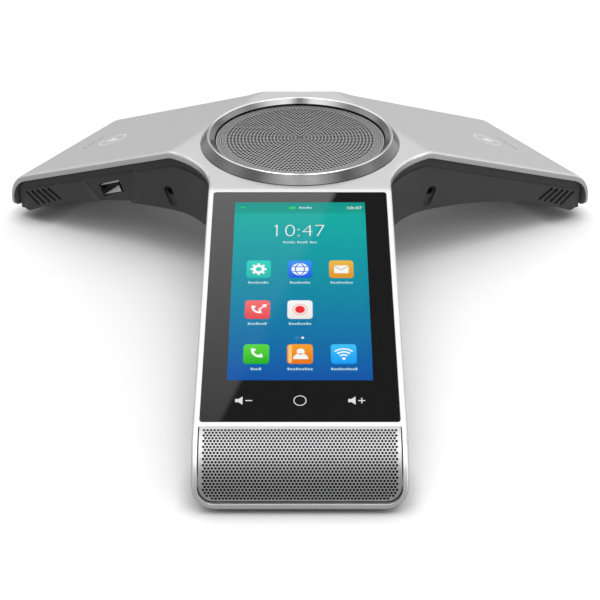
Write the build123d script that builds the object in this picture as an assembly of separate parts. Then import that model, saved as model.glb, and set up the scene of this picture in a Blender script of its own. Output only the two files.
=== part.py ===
"""Three-armed conference desk phone with a touch screen in its front arm.

Millimetres, +Z up. The front arm points along -Y. The phone is drawn with the loudspeaker's
axis as the Z axis, then moved back so that the origin is the centre of its footprint on the
desk. An arm's own coordinates are t, the distance out from the loudspeaker's axis, s, the
distance to the left of its centre line looking outwards from above, and z, the height.
"""
from build123d import *
import os
from math import cos, degrees, radians, sin, sqrt, tan

# Body heights and plan
RIM_Z = 72.0
HUB_Z = RIM_Z - 4.6
UNDER_Z = HUB_Z - 33.9
HALF_WIDTH = 44.4
WEB_RADIUS = 45.0
REAR_EDGE_Y = 67.3
REAR_BEND_RADIUS = 18.0
CREASE_RADIUS = 12.0

# Silver cover
COVER_EDGE = 3.4
COVER_SKIN = 2.0
COVER_RIM_WIDTH = 5.5
TIP_SKIN = 2.0
EDGE_ROUND = 1.1

# Dark housing: a recessed neck under the cover, then the wall
NECK_INSET = 2.8
WALL_INSET = 1.8
WALL_DROP = 8.9
CAVITY_INSET = 4.8
LEDGE_WIDTH = 1.5
LEDGE_THICK = 1.7
TIP_NECK_GAP = 2.8
TIP_WALL_GAP = 2.2
NOSE_GAP = 6.0
TIP_WALL_CORNER = 9.0
END_WALL = 3.0
FLOOR_SKIN = 2.5
FIT_GAP = 0.4

# Heights of the lowest edges
TIP_LIP_Z = 7.4
NOSE_LIP_Z = 2.65
TIP_BASE_Z = 6.8
NOSE_BASE_Z = 3.0
TIP_LIP_CORNER = 5.0
NOSE_LIP_CORNER = 10.0

# Rubber feet
REAR_FOOT_SPAN = (144.0, 156.0)
REAR_FOOT_HALF_WIDTH = 14.0
FRONT_FOOT_SPAN = (186.0, 203.0)
FRONT_FOOT_HALF_WIDTH = 26.0

# Loudspeaker on the hub
RING_BASE_R = 51.65
RING_RIM_R = 47.7
MESH_R = 43.6
COVER_HOLE_R = 46.3
FLANGE_Z = HUB_Z - 5.9
YOKE_Z = UNDER_Z + FLOOR_SKIN + 1.2

# Touch screen
GLASS_WIDTH = 83.0
GLASS_LENGTH = 139.6
GLASS_THICK = 1.1
GLASS_START = 57.5
GLASS_CORNER = 1.2
GLASS_GAP = 0.2
WINDOW_WIDTH = 73.0
PANEL_WIDTH = 64.6
PANEL_LENGTH = 116.0
PANEL_TOP_Y = -5.0

# Curved grille on the nose
GRILLE_R = 28.0
GRILLE_THICK = 0.8
GRILLE_HALF_WIDTH = 41.5
GRILLE_LOW_ANGLE = 88.0
GRILLE_BOTTOM_Z = 5.15
GRILLE_CORNER = 6.4
GRILLE_GAP = 0.5
NOSE_SPAN = (180.0, 230.0)

REACH = 300.0
LOW_Z = -20.0


class Arm:
    """One arm: its direction, top profile and arched underside."""

    def __init__(self, name, angle, crease, slope, end, bend_radius, arch_start, arch_radius):
        self.name = name
        self.angle = angle
        self.crease = crease
        self.slope = radians(slope)
        self.end = end
        self.bend_radius = bend_radius
        self.arch_start = arch_start
        self.arch_radius = arch_radius
        heading = radians(angle)
        self.side = Plane(
            origin=(0, 0, 0),
            x_dir=(cos(heading), sin(heading), 0),
            z_dir=(sin(heading), -cos(heading), 0),
        )

    def top_z(self, t, drop=0.0):
        """Height of the sloping top face, or of a face a given drop inside it."""
        return HUB_Z - (t - self.crease) * tan(self.slope) - drop / cos(self.slope)

    def under_z(self, t, lift=0.0):
        """Height of the arched underside."""
        run = max(t - self.arch_start, 0.0)
        return UNDER_Z + lift - self.arch_radius + sqrt(self.arch_radius ** 2 - run ** 2)

    def place(self, t, s, z):
        """Location with the arm's t along X and the arm's right-hand side along -Y."""
        return Rot(0, 0, self.angle) * Pos(t, s, z)


FRONT = Arm("front", -90, 56.0, 15.8, 216.2, 29.5, 40.0, 470.0)
LEFT = Arm("left", 150, 52.0, 20.8, 163.2, 18.0, 37.0, 260.0)
RIGHT = Arm("right", 30, 52.0, 20.8, 163.2, 18.0, 37.0, 260.0)
ARMS = (FRONT, LEFT, RIGHT)
REAR_ARMS = (LEFT, RIGHT)


def profile_arc(centre, radius, start, finish):
    """Arc in an arm's t-z plane; angles run from straight up towards the tip."""
    def point(angle):
        return (centre[0] + radius * sin(angle), centre[1] + radius * cos(angle))

    return ThreePointArc(point(start), point((start + finish) / 2), point(finish))


def below_top(arm, drop, end_gap):
    """Everything under an arm's top profile, the profile moved in by drop and end_gap."""
    slope = arm.slope
    crease_centre = (arm.crease - CREASE_RADIUS * tan(slope / 2), HUB_Z - CREASE_RADIUS)
    crease_radius = CREASE_RADIUS - drop
    crease_end = (
        crease_centre[0] + crease_radius * sin(slope),
        crease_centre[1] + crease_radius * cos(slope),
    )
    end = arm.end - end_gap
    bend_radius = arm.bend_radius - drop
    bend_t = end - bend_radius
    bend_z = crease_end[1] - (bend_t - crease_end[0]) * tan(slope) - bend_radius / cos(slope)
    bend_start = (bend_t + bend_radius * sin(slope), bend_z + bend_radius * cos(slope))
    outline = [
        Line((-REACH, HUB_Z - drop), (crease_centre[0], HUB_Z - drop)),
        profile_arc(crease_centre, crease_radius, 0, slope),
        Line(crease_end, bend_start),
        profile_arc((bend_t, bend_z), bend_radius, slope, radians(90)),
        Line((end, bend_z), (end, LOW_Z)),
        Line((end, LOW_Z), (-REACH, LOW_Z)),
        Line((-REACH, LOW_Z), (-REACH, HUB_Z - drop)),
    ]
    return extrude(arm.side * make_face(outline), amount=REACH, both=True)


def below_tops(drop, tip_gap, nose_gap):
    solid = below_top(FRONT, drop, nose_gap)
    for arm in REAR_ARMS:
        solid = solid & below_top(arm, drop, tip_gap)
    return solid


def below_arch(lift=0.0):
    """The arched space under the phone, its ceiling raised by lift."""
    solid = None
    for arm in ARMS:
        run = arm.end + 8 - arm.arch_start
        arch_z = UNDER_Z + lift
        end_z = arch_z - arm.arch_radius + sqrt(arm.arch_radius ** 2 - run ** 2)
        middle = run / 2
        middle_z = arch_z - arm.arch_radius + sqrt(arm.arch_radius ** 2 - middle ** 2)
        start = (arm.arch_start, arch_z)
        finish = (arm.arch_start + run, end_z)
        outline = [
            Line((-REACH, arch_z), start),
            ThreePointArc(start, (arm.arch_start + middle, middle_z), finish),
            Line(finish, (finish[0], LOW_Z * 3)),
            Line((finish[0], LOW_Z * 3), (-REACH, LOW_Z * 3)),
            Line((-REACH, LOW_Z * 3), (-REACH, arch_z)),
        ]
        region = extrude(arm.side * make_face(outline), amount=REACH, both=True)
        solid = region if solid is None else solid & region
    return solid


def plan(inset, tip_gap=-20.0, nose_gap=-20.0, corner=0.0):
    """Three arms joined by concave webs, straight across at the rear, all moved in by inset."""
    half_width = HALF_WIDTH - inset
    rear_y = REAR_EDGE_Y - inset
    rear_half = (rear_y * cos(radians(30)) - half_width) / sin(radians(30))
    outline = Pos(0, rear_y / 2) * Rectangle(2 * rear_half, rear_y)
    for arm in ARMS:
        length = arm.end - (nose_gap if arm is FRONT else tip_gap)
        outline += Rot(0, 0, arm.angle) * Pos(length / 2, 0) * Rectangle(length, 2 * half_width)
    rear_bends = [v for v in outline.vertices() if abs(v.Y - rear_y) < 1e-6]
    outline = fillet(rear_bends, REAR_BEND_RADIUS + inset)
    webs = sorted(outline.vertices(), key=lambda v: Vector(v).length)[:2]
    outline = fillet(webs, WEB_RADIUS + inset)
    if corner:
        ends = sorted(outline.vertices(), key=lambda v: Vector(v).length)[-6:]
        outline = fillet(ends, corner)
    return outline


def prism(sketch, low=LOW_Z, high=RIM_Z + 20):
    return extrude(Pos(0, 0, low) * sketch, amount=high - low)


def rim_edges(solid, inset, drop):
    """The long upper edges of a body cut to the plan and the top profiles."""
    edges = []
    for edge in solid.edges():
        middle = edge @ 0.5
        if middle.Z < LOW_Z + 1:
            continue
        upright = abs((edge % 0.5).Z) > 0.99
        if upright and sqrt(middle.X ** 2 + middle.Y ** 2) < 120:
            continue
        locals_ = [arm.side.to_local_coords(middle) for arm in ARMS]
        on_side = any(abs(abs(p.Z) - HALF_WIDTH + inset) < 1e-3 and p.X > 20 for p in locals_)
        on_web = edge.geom_type == GeomType.CIRCLE and abs(middle.Z - HUB_Z + drop) < 1e-3
        if on_side or on_web:
            edges.append(edge)
    return edges


def envelope(inset, drop, tip_gap, nose_gap, rounding=0.0):
    solid = prism(plan(inset)) & below_tops(drop, tip_gap, nose_gap)
    if rounding:
        solid = fillet(rim_edges(solid, inset, drop), rounding)
    return solid


def arm_box(arm, t_range, s_range, z_range):
    size = [high - low for low, high in (t_range, s_range, z_range)]
    middle = [(low + high) / 2 for low, high in (t_range, s_range, z_range)]
    return arm.place(*middle) * Box(*size)


def end_frame(arm, half_width, bottom, corner, t_range):
    """Block along an arm whose two lower corners are rounded, seen from the arm's end."""
    height = 120.0
    section = Pos(0, bottom + height / 2) * RectangleRounded(2 * half_width, height, corner)
    along = Plane(origin=(0, 0, 0), x_dir=(0, 1, 0), z_dir=(1, 0, 0))
    block = Pos(t_range[0], 0, 0) * extrude(along * section, amount=t_range[1] - t_range[0])
    return Rot(0, 0, arm.angle) * block


def trim_end(solid, arm, bottom, corner, t_start):
    """Round the lower corners of an arm's end and cut it level at the bottom."""
    span = (t_start, arm.end + 20)
    around = arm_box(arm, span, (-90, 90), (-60, RIM_Z))
    return solid - (around - end_frame(arm, HALF_WIDTH, bottom, corner, span))


def ring(inner, outer, low, high):
    return Pos(0, 0, (low + high) / 2) * (
        Cylinder(outer, high - low) - Cylinder(inner, high - low + 1)
    )


def turned(points):
    """Solid of revolution about the loudspeaker's axis from (radius, height) points."""
    face = make_face(Polyline(*[(r, z) for r, z in points], close=True))
    return revolve(Plane.XZ * face, axis=Axis.Z)


# ---------------------------------------------------------------- screen plane
SCREEN = Plane(
    origin=(0, -GLASS_START, FRONT.top_z(GLASS_START)),
    x_dir=(1, 0, 0),
    z_dir=(0, -sin(FRONT.slope), cos(FRONT.slope)),
)
NOSE_T = FRONT.end - FRONT.bend_radius + FRONT.bend_radius * sin(FRONT.slope)
NOSE_CENTRE = (
    NOSE_T - GRILLE_R * sin(FRONT.slope),
    FRONT.top_z(NOSE_T) - GRILLE_R * cos(FRONT.slope),
)


def on_screen(width, y_range, z_range, x=0.0):
    """Block in the screen's plane: y runs up the slope to the glass's top edge at 0."""
    length = y_range[1] - y_range[0]
    thick = z_range[1] - z_range[0]
    middle = Pos(x, sum(y_range) / 2, sum(z_range) / 2)
    return SCREEN.location * middle * Box(width, length, thick)


def glass_slab(growth, low, high):
    length = GLASS_LENGTH + 2 * growth
    section = Pos(0, -GLASS_LENGTH / 2, low) * RectangleRounded(
        GLASS_WIDTH + 2 * growth, length, GLASS_CORNER + growth
    )
    return SCREEN.location * extrude(section, amount=high - low)


def nose_sector(inner, outer, start, finish, half_width):
    """Curved sheet round the nose between two radii and two angles."""
    outer_arc = profile_arc(NOSE_CENTRE, outer, start, finish)
    inner_arc = profile_arc(NOSE_CENTRE, inner, start, finish)
    low_edge = Line(outer_arc @ 1, inner_arc @ 1)
    high_edge = Line(inner_arc @ 0, outer_arc @ 0)
    outline = [outer_arc, low_edge, inner_arc, high_edge]
    return extrude(FRONT.side * make_face(outline), amount=half_width, both=True)


# ---------------------------------------------------------------- screws and posts
POST_R = 2.7
PILOT_R = 1.25
SHANK_R = 1.2
SHANK_LENGTH = 9.0
HEAD_R = 2.3
HEAD_HEIGHT = 1.3
COVER_POSTS = [(arm, 122.0, s) for arm in REAR_ARMS for s in (-33.0, 33.0)]
COVER_POSTS += [(FRONT, t, s) for t in (74.0, 172.0) for s in (-35.2, 35.2)]


def upright(arm, t, s, radius, low, high):
    return arm.place(t, s, (low + high) / 2) * Cylinder(radius, high - low)


def together(shapes):
    """Join shapes, touching or not, into one."""
    whole = None
    for shape in shapes:
        whole = shape if whole is None else whole + shape
    return whole


def cover_screw(arm, t, s):
    """Slotted pan-head screw, driven upwards into one of the cover's posts."""
    seat = arm.under_z(t) + HEAD_HEIGHT
    head = upright(arm, t, s, HEAD_R, seat - HEAD_HEIGHT, seat)
    shank = upright(arm, t, s, SHANK_R, seat - 0.1, seat + SHANK_LENGTH)
    slot = arm.place(t, s, seat - HEAD_HEIGHT) * Box(2 * HEAD_R, 0.6, 0.9)
    return head + shank - slot


# ---------------------------------------------------------------- covers
def top_cover():
    cover = envelope(0, 0, 0, 0, EDGE_ROUND) - below_tops(COVER_EDGE, TIP_SKIN, COVER_EDGE)
    cover -= envelope(COVER_RIM_WIDTH, COVER_SKIN, TIP_SKIN, COVER_EDGE)
    for arm in REAR_ARMS:
        cover = trim_end(cover, arm, TIP_LIP_Z, TIP_LIP_CORNER, 140)
    cover = trim_end(cover, FRONT, NOSE_LIP_Z, NOSE_LIP_CORNER, 190)

    posts = together(upright(arm, t, s, POST_R, LOW_Z, RIM_Z) for arm, t, s in COVER_POSTS)
    posts = posts & below_tops(COVER_SKIN - 0.1, TIP_SKIN, COVER_EDGE)
    posts -= below_arch(FLOOR_SKIN + 0.1)
    cover += posts
    for arm, t, s in COVER_POSTS:
        floor = arm.under_z(t, FLOOR_SKIN)
        cover -= upright(arm, t, s, PILOT_R, floor - 3, floor + SHANK_LENGTH)

    cover -= Pos(0, 0, HUB_Z) * Cylinder(COVER_HOLE_R, 30)
    cover -= glass_slab(GLASS_GAP, -GLASS_THICK - 0.25, 5)
    cover -= on_screen(WINDOW_WIDTH, (4 - GLASS_LENGTH, -3.0), (-6, 5))
    opening = nose_sector(
        GRILLE_R - 8, GRILLE_R + 12, FRONT.slope - radians(0.8), radians(105),
        GRILLE_HALF_WIDTH + GRILLE_GAP,
    )
    frame = end_frame(
        FRONT, GRILLE_HALF_WIDTH + GRILLE_GAP, GRILLE_BOTTOM_Z - GRILLE_GAP,
        GRILLE_CORNER + GRILLE_GAP, NOSE_SPAN,
    )
    return cover - (opening & frame)


def nose_grille():
    sheet = nose_sector(
        GRILLE_R - GRILLE_THICK, GRILLE_R, FRONT.slope, radians(GRILLE_LOW_ANGLE), GRILLE_HALF_WIDTH
    )
    return sheet & end_frame(
        FRONT, GRILLE_HALF_WIDTH, GRILLE_BOTTOM_Z, GRILLE_CORNER, NOSE_SPAN
    )


def grille_cloth():
    """Acoustic cloth behind the grille, a little smaller than it all round."""
    half_width = GRILLE_HALF_WIDTH - 1
    sheet = nose_sector(
        GRILLE_R - GRILLE_THICK - 0.4, GRILLE_R - GRILLE_THICK - 0.1,
        FRONT.slope + radians(2), radians(GRILLE_LOW_ANGLE - 2), half_width,
    )
    return sheet & end_frame(
        FRONT, half_width, GRILLE_BOTTOM_Z + 0.8, GRILLE_CORNER, NOSE_SPAN
    )


# Charging and data socket in the left arm's front wall
USB_T = 94.0
USB_Z = 34.2
USB_TILT = -22.5
USB_WIDTH = 13.2
USB_HEIGHT = 5.8
USB_DEPTH = 14.0
POCKET_DEPTH = 2.1
POCKET_TILT = 3.2
POCKET_SPREAD = 0.3
POCKET_BACK = 6.0
POCKET_SPAN = (69.0, 117.0)

# Sockets for the two extension microphones
JACK_T = 54.4
JACK_Z = 43.0
JACK_BORE_R = 1.8
JACK_LENGTH = 14.0
JACK_DISH = (53.4, 40.6)
JACK_DISH_SIZE = (11.6, 5.4)
JACK_DISH_ANGLE = 65.6
JACK_DISH_DEPTH = 1.6

# Network socket in the rear web
NETWORK_Z = UNDER_Z + FLOOR_SKIN + 1.9
NETWORK_SIZE = (15.8, 20.6, 13.2)
NETWORK_FACE_Y = 61.7
SOCKET_PANEL_HALF_WIDTH = 16.0
SOCKET_PANEL_TOP_Z = 55.0
SOCKET_PANEL_GAP = 0.15
PLUG_HEIGHT = 6.2
CONTACT_PITCH = 1.02

SLOT_COUNT = 5
SLOT_PITCH = 4.0
SLOT_WIDTH = 1.9

# Vents under the electronics
VENT_T = 84.0

# +1 where an arm's front-facing wall is on the left of its centre line, looking outwards
FRONT_WALL = {LEFT: 1, RIGHT: -1}


def on_wall(arm, t, z, depth=0.0):
    """Location on a rear arm's front wall: X right and Y up as seen from the front, Z out."""
    sign = FRONT_WALL[arm]
    heading = radians(arm.angle)
    out = Vector(cos(heading), sin(heading), 0)
    left = Vector(-sin(heading), cos(heading), 0)
    spot = out * t + left * (sign * (HALF_WIDTH - WALL_INSET - depth)) + Vector(0, 0, z)
    return Plane(origin=spot, x_dir=out * -sign, z_dir=left * sign).location


def usb_pocket():
    """Pocket round the data socket: steep at the tip, a long ramp towards the hub."""
    mouth = [(72.3, 51.6), (114.0, 35.8), (102.6, 24.8), (79.5, 29.0), (72.3, 36.0)]
    floor = [(80.0, 48.7), (113.2, 36.1), (102.0, 25.4), (83.0, 29.0), (80.0, 31.8)]
    open_air = on_wall(LEFT, USB_T, 0, -POCKET_SPREAD)
    sunk = on_wall(LEFT, USB_T, 0, POCKET_DEPTH) * Rot(0, POCKET_TILT, 0)
    faces = []
    for plane, outline in ((open_air, mouth), (sunk, floor)):
        points = [(USB_T - t, z) for t, z in outline]
        faces.append(plane * make_face(Polyline(*points, close=True)))
    return loft(faces, ruled=True)


def level_cuts():
    """Everything below the level the housing is cut to, under the rear arms and the nose."""
    rear = Pos(0, REACH / 2 - 30, TIP_BASE_Z - 50) * Box(2 * REACH, REACH, 100)
    front = Pos(0, -REACH / 2 - 30, NOSE_BASE_Z - 50) * Box(2 * REACH, REACH, 100)
    return rear + front


def socket_panel_block(gap):
    """Block round the panel that carries the network socket, a given gap larger."""
    depth = CAVITY_INSET + LEDGE_WIDTH + 0.1
    width = 2 * (SOCKET_PANEL_HALF_WIDTH + gap)
    height = SOCKET_PANEL_TOP_Z + gap
    return Pos(0, REAR_EDGE_Y - depth / 2, height / 2) * Box(width, depth, height)


def housing():
    """The dark walls under the cover, with the socket panel still in one piece with them."""
    tip_inner = TIP_WALL_GAP + END_WALL
    nose_inner = NOSE_GAP + END_WALL
    neck = envelope(NECK_INSET, COVER_EDGE, TIP_NECK_GAP, NOSE_GAP)
    neck = neck & prism(plan(0, TIP_WALL_GAP, NOSE_GAP, TIP_WALL_CORNER))
    wall = prism(plan(WALL_INSET, TIP_WALL_GAP, NOSE_GAP, TIP_WALL_CORNER))
    wall = wall & below_tops(WALL_DROP, TIP_WALL_GAP, NOSE_GAP)
    cavity = prism(plan(CAVITY_INSET, tip_inner, nose_inner, TIP_WALL_CORNER - END_WALL))
    pad = arm_box(
        LEFT, POCKET_SPAN,
        (HALF_WIDTH - CAVITY_INSET - POCKET_BACK + END_WALL, HALF_WIDTH - CAVITY_INSET + 1),
        (LOW_Z, LEFT.top_z(POCKET_SPAN[0])),
    )
    shell = neck + wall - (cavity - (pad & wall)) - below_arch()
    ledge = prism(plan(CAVITY_INSET - 0.2, tip_inner, nose_inner))
    ledge -= prism(plan(CAVITY_INSET + LEDGE_WIDTH, tip_inner, nose_inner))
    ledge = ledge & (below_arch(FLOOR_SKIN + LEDGE_THICK) - below_arch(FLOOR_SKIN + 0.1))
    shell += ledge & wall
    shell -= usb_pocket()
    shell -= on_usb(Box(USB_WIDTH + 1.3, USB_HEIGHT + 1.7, 30))

    for arm in REAR_ARMS:
        angle = JACK_DISH_ANGLE if arm is RIGHT else 180 - JACK_DISH_ANGLE
        dish = extrude(Rot(0, 0, angle) * SlotOverall(*JACK_DISH_SIZE), amount=12)
        shell -= on_wall(arm, *JACK_DISH, JACK_DISH_DEPTH) * dish
        shell -= on_wall(arm, JACK_T, JACK_Z) * Cylinder(JACK_BORE_R + 0.5, 30)
        shell -= mic_slots(arm)

    shell -= Pos(0, NETWORK_FACE_Y + 5, NETWORK_Z + PLUG_HEIGHT) * Box(13.4, 20, 10.6)
    return shell - level_cuts()


def mic_slots(arm):
    """Five slanting slots through the front wall, in front of the arm's microphone."""
    slots = []
    for i in range(SLOT_COUNT):
        top = (137.3 + SLOT_PITCH * i, 24.4 - 1.5 * i)
        bottom = (128.2 + SLOT_PITCH * i, 19.4 - 1.85 * i)
        middle = on_wall(arm, (top[0] + bottom[0]) / 2, (top[1] + bottom[1]) / 2)
        lean = Vector(top[0] - bottom[0], top[1] - bottom[1], 0)
        angle = lean.get_angle(Vector(1, 0, 0)) * -FRONT_WALL[arm]
        outline = Rot(0, 0, angle) * SlotOverall(lean.length, SLOT_WIDTH)
        slots.append(middle * extrude(outline, amount=11, both=True))
    return together(slots)


def bottom_cover():
    tip_edge = TIP_WALL_GAP + END_WALL + FIT_GAP
    nose_edge = NOSE_GAP + END_WALL + FIT_GAP
    slab = prism(plan(CAVITY_INSET + FIT_GAP, tip_edge, nose_edge, TIP_WALL_CORNER - END_WALL))
    slab = slab & (below_arch(FLOOR_SKIN) - below_arch())
    slab -= arm_box(
        LEFT, (POCKET_SPAN[0] - FIT_GAP, POCKET_SPAN[1] + FIT_GAP),
        (HALF_WIDTH - CAVITY_INSET - POCKET_BACK + END_WALL - FIT_GAP, HALF_WIDTH), (-10, RIM_Z),
    )
    slab -= level_cuts()
    for t, s in BOARD_HOLES:
        under = FRONT.under_z(t)
        slab += upright(FRONT, t, s, BOARD_POST_R, under + 0.5, RIM_Z) & below_board()
        slab -= upright(FRONT, t, s, BOARD_PILOT_R, under + 1.5, RIM_Z)
    for arm, t, s in COVER_POSTS:
        seat = arm.under_z(t) + HEAD_HEIGHT
        slab -= upright(arm, t, s, SHANK_R + 0.25, -5, seat + 20)
        slab -= upright(arm, t, s, HEAD_R + 0.3, -5, seat)
    vent = extrude(SlotOverall(34, 2.2, rotation=90), amount=20, both=True)
    for i in range(5):
        slab -= Pos(7 * (i - 2), -VENT_T, FRONT.under_z(VENT_T)) * vent
    return slab


def foot(arm, t_range, half_width, level):
    """Rubber pad from the desk up to the housing, which is cut off level near the tip."""
    length = t_range[1] - t_range[0]
    outline = RectangleRounded(length, 2 * half_width, 5)
    pad = arm.place(sum(t_range) / 2, 0, 0) * extrude(outline, amount=30)
    level_part = arm_box(arm, (t_range[0], arm.end), (-60, 60), (LOW_Z, level))
    pad = pad & (below_arch() + level_part)
    return chamfer(pad.faces().sort_by(Axis.Z)[0].edges(), 0.8)


# ---------------------------------------------------------------- loudspeaker
def speaker_ring():
    top = RIM_Z
    return turned([
        (RING_BASE_R, HUB_Z), (RING_RIM_R + 0.25, top - 0.3), (RING_RIM_R - 0.15, top),
        (RING_RIM_R - 0.7, top - 0.15), (MESH_R + 0.5, top - 2.7), (MESH_R + 0.3, top - 3.9),
        (MESH_R - 1.5, top - 3.9), (MESH_R - 1.5, top - 4.9), (MESH_R - 0.4, top - 4.9),
        (MESH_R - 0.4, FLANGE_Z - 1.6), (COVER_HOLE_R - 0.3, FLANGE_Z - 1.6), (COVER_HOLE_R - 0.3, HUB_Z),
    ])


MESH_Z = RIM_Z - 3.9
MESH_CROWN = 0.8
MESH_THICK = 0.6


def speaker_mesh():
    """Pressed disc, very slightly crowned."""
    sphere_r = (MESH_R ** 2 + MESH_CROWN ** 2) / (2 * MESH_CROWN)
    outer = Pos(0, 0, MESH_Z + MESH_THICK + MESH_CROWN - sphere_r) * Sphere(sphere_r)
    inner = Pos(0, 0, MESH_Z + MESH_CROWN - sphere_r) * Sphere(sphere_r)
    return (outer - inner) & (Pos(0, 0, MESH_Z + 5) * Cylinder(MESH_R, 10))


POLE_R = 12.3
COIL_IN_R = 12.6
COIL_R = 13.6
GAP_R = 13.9
MAGNET_TOP_Z = YOKE_Z + 8.6
PLATE_TOP_Z = MAGNET_TOP_Z + 3.0
CONE_NECK_Z = PLATE_TOP_Z + 4.6
SPIDER_Z = PLATE_TOP_Z + 3.4
CONE_R = 34.0
SURROUND_R = 40.2
FLANGE_R = 42.6


def magnet_yoke():
    return Pos(0, 0, YOKE_Z + 1.5) * Cylinder(24.0, 3.0) + ring(3.0, POLE_R, YOKE_Z, PLATE_TOP_Z)


def basket():
    frame = turned([
        (FLANGE_R, FLANGE_Z), (36.6, FLANGE_Z), (36.6, FLANGE_Z - 3.0), (25.8, SPIDER_Z + 1.2),
        (25.8, SPIDER_Z), (23.2, SPIDER_Z), (23.2, PLATE_TOP_Z + 1.2), (15.0, PLATE_TOP_Z + 1.2),
        (15.0, PLATE_TOP_Z), (25.2, PLATE_TOP_Z), (27.6, SPIDER_Z), (38.4, FLANGE_Z - 3.9),
        (38.8, FLANGE_Z - 1.6), (FLANGE_R, FLANGE_Z - 1.6),
    ])
    window = Pos(0, 31.0, SPIDER_Z + 3.4) * Box(13.0, 11.0, 4.2)
    for i in range(6):
        frame -= Rot(0, 0, 60 * i) * window
    return frame


def speaker_cone():
    thick = 0.6
    return turned([
        (COIL_IN_R + 0.2, CONE_NECK_Z), (CONE_R, FLANGE_Z - 0.4), (CONE_R + 1.0, FLANGE_Z - 0.4),
        (CONE_R + 1.0, FLANGE_Z - 0.4 + thick), (CONE_R - 0.3, FLANGE_Z - 0.4 + thick),
        (COIL_IN_R + 0.2, CONE_NECK_Z + thick + 0.3),
    ])


def voice_coil():
    former = ring(COIL_IN_R, COIL_IN_R + 0.2, PLATE_TOP_Z - 4.6, CONE_NECK_Z)
    return former + ring(COIL_IN_R + 0.1, COIL_R, PLATE_TOP_Z - 5.0, PLATE_TOP_Z + 1.0)


def dust_cap():
    low = CONE_NECK_Z + 1.4
    dome = Pos(0, 0, low - 12.0) * (Sphere(17.9) - Sphere(17.4))
    return dome & (Pos(0, 0, low + 10) * Cylinder(13.2, 20))


def surround():
    base = FLANGE_Z + 0.2
    middle, roll, thick = (CONE_R + 0.9 + SURROUND_R - 1.2) / 2, 2.3, 0.5
    outline = [
        Line((CONE_R - 0.2, base), (middle - roll, base)),
        ThreePointArc((middle - roll, base), (middle, base + roll), (middle + roll, base)),
        Line((middle + roll, base), (SURROUND_R, base)),
        Line((SURROUND_R, base), (SURROUND_R, base + thick)),
        Line((SURROUND_R, base + thick), (middle + roll + thick, base + thick)),
        ThreePointArc((middle + roll + thick, base + thick), (middle, base + roll + thick * 2),
                      (middle - roll - thick, base + thick)),
        Line((middle - roll - thick, base + thick), (CONE_R - 0.2, base + thick)),
        Line((CONE_R - 0.2, base + thick), (CONE_R - 0.2, base)),
    ]
    return revolve(Plane.XZ * make_face(outline), axis=Axis.Z)


def spider():
    """Corrugated fabric disc that centres the voice coil."""
    waves = 3
    inner, outer, height, thick = COIL_R + 0.05, 25.4, 0.45, 0.35
    pitch = (outer - inner) / (2 * waves)
    base = SPIDER_Z + 0.55
    upper = [(inner, base)]
    for i in range(2 * waves):
        upper.append((inner + pitch * (i + 0.5), base + height * (-1) ** i))
    upper.append((outer, base))
    lower = [(r, z + thick) for r, z in reversed(upper)]
    return turned(upper + lower)


def speaker_enclosure():
    """Sealed cup behind the driver, narrow below and wide at its flange."""
    floor = UNDER_Z + FLOOR_SKIN + 0.2
    waist = FLANGE_Z - 9.5
    cup = turned([
        (0, floor), (30.0, floor), (30.0, waist - 1.0), (45.6, waist + 1.2), (45.6, FLANGE_Z - 1.6),
        (39.4, FLANGE_Z - 1.6), (39.4, FLANGE_Z - 3.2), (44.0, FLANGE_Z - 3.2), (44.0, waist + 2.2),
        (28.5, waist + 0.4), (28.5, floor + 1.0), (0, floor + 1.0),
    ])
    lead_hole = Pos(0, -30, UNDER_Z + 9) * Box(5.2, 6, 2.4)
    return cup - lead_hole


# ---------------------------------------------------------------- electronics
BOARD_DEPTH = 15.0
BOARD_SPAN = (-92.0, -14.0)
BOARD_WIDTH = 62.0
BOARD_HOLES = [(78.0, -27.0), (78.0, 27.0), (140.0, -27.0), (140.0, 27.0)]
BOARD_POST_R = 2.6
BOARD_PILOT_R = 0.9


def below_board():
    return on_screen(200, (-300, 300), (-BOARD_DEPTH - 100, -BOARD_DEPTH))


def main_board():
    board = on_screen(BOARD_WIDTH, BOARD_SPAN, (-BOARD_DEPTH, -BOARD_DEPTH + 1.6))
    for x, y in ((-18, -30), (16, -28), (-20, -62), (20, -66), (4, -80)):
        board += on_screen(9, (y - 4.5, y + 4.5), (-BOARD_DEPTH + 1.5, -BOARD_DEPTH + 2.8), x)
    for t, s in BOARD_HOLES:
        board -= upright(FRONT, t, s, 1.3, LOW_Z, RIM_Z)
    return board


def shield_can():
    can = on_screen(24, (-58, -36), (-BOARD_DEPTH + 1.6, -BOARD_DEPTH + 4.4))
    return can - on_screen(23.4, (-57.7, -36.3), (-BOARD_DEPTH + 1, -BOARD_DEPTH + 4.1))


def display_ribbon():
    low, high = -BOARD_DEPTH + 1.6, -3.55
    y = -104.0
    run = [(-101.0, high), (y, high), (y, low + 0.2), (-86.0, low + 0.2)]
    back = [(-86.0, low), (y - 0.2, low), (y - 0.2, high + 0.2), (-101.0, high + 0.2)]
    plane = Plane(origin=SCREEN.origin, x_dir=SCREEN.y_dir, z_dir=SCREEN.x_dir)
    face = plane * make_face(Polyline(*[(a, b) for a, b in run + back], close=True))
    return extrude(face, amount=9, both=True)


def on_usb(shape):
    """Place a shape at the data socket, Z pointing out of the wall."""
    return on_wall(LEFT, USB_T, USB_Z, POCKET_DEPTH) * Rot(0, 0, -USB_TILT) * shape


def usb_port():
    shell = Box(USB_WIDTH, USB_HEIGHT, USB_DEPTH)
    shell -= Pos(0, 0, 0.6) * Box(USB_WIDTH - 0.8, USB_HEIGHT - 0.8, USB_DEPTH)
    tongue_length = USB_DEPTH - 1.9
    tongue = Pos(0, 1.2, (tongue_length - USB_DEPTH) / 2) * Box(11.4, 1.7, tongue_length)
    return on_usb(Pos(0, 0, -USB_DEPTH / 2) * (shell + tongue))


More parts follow.
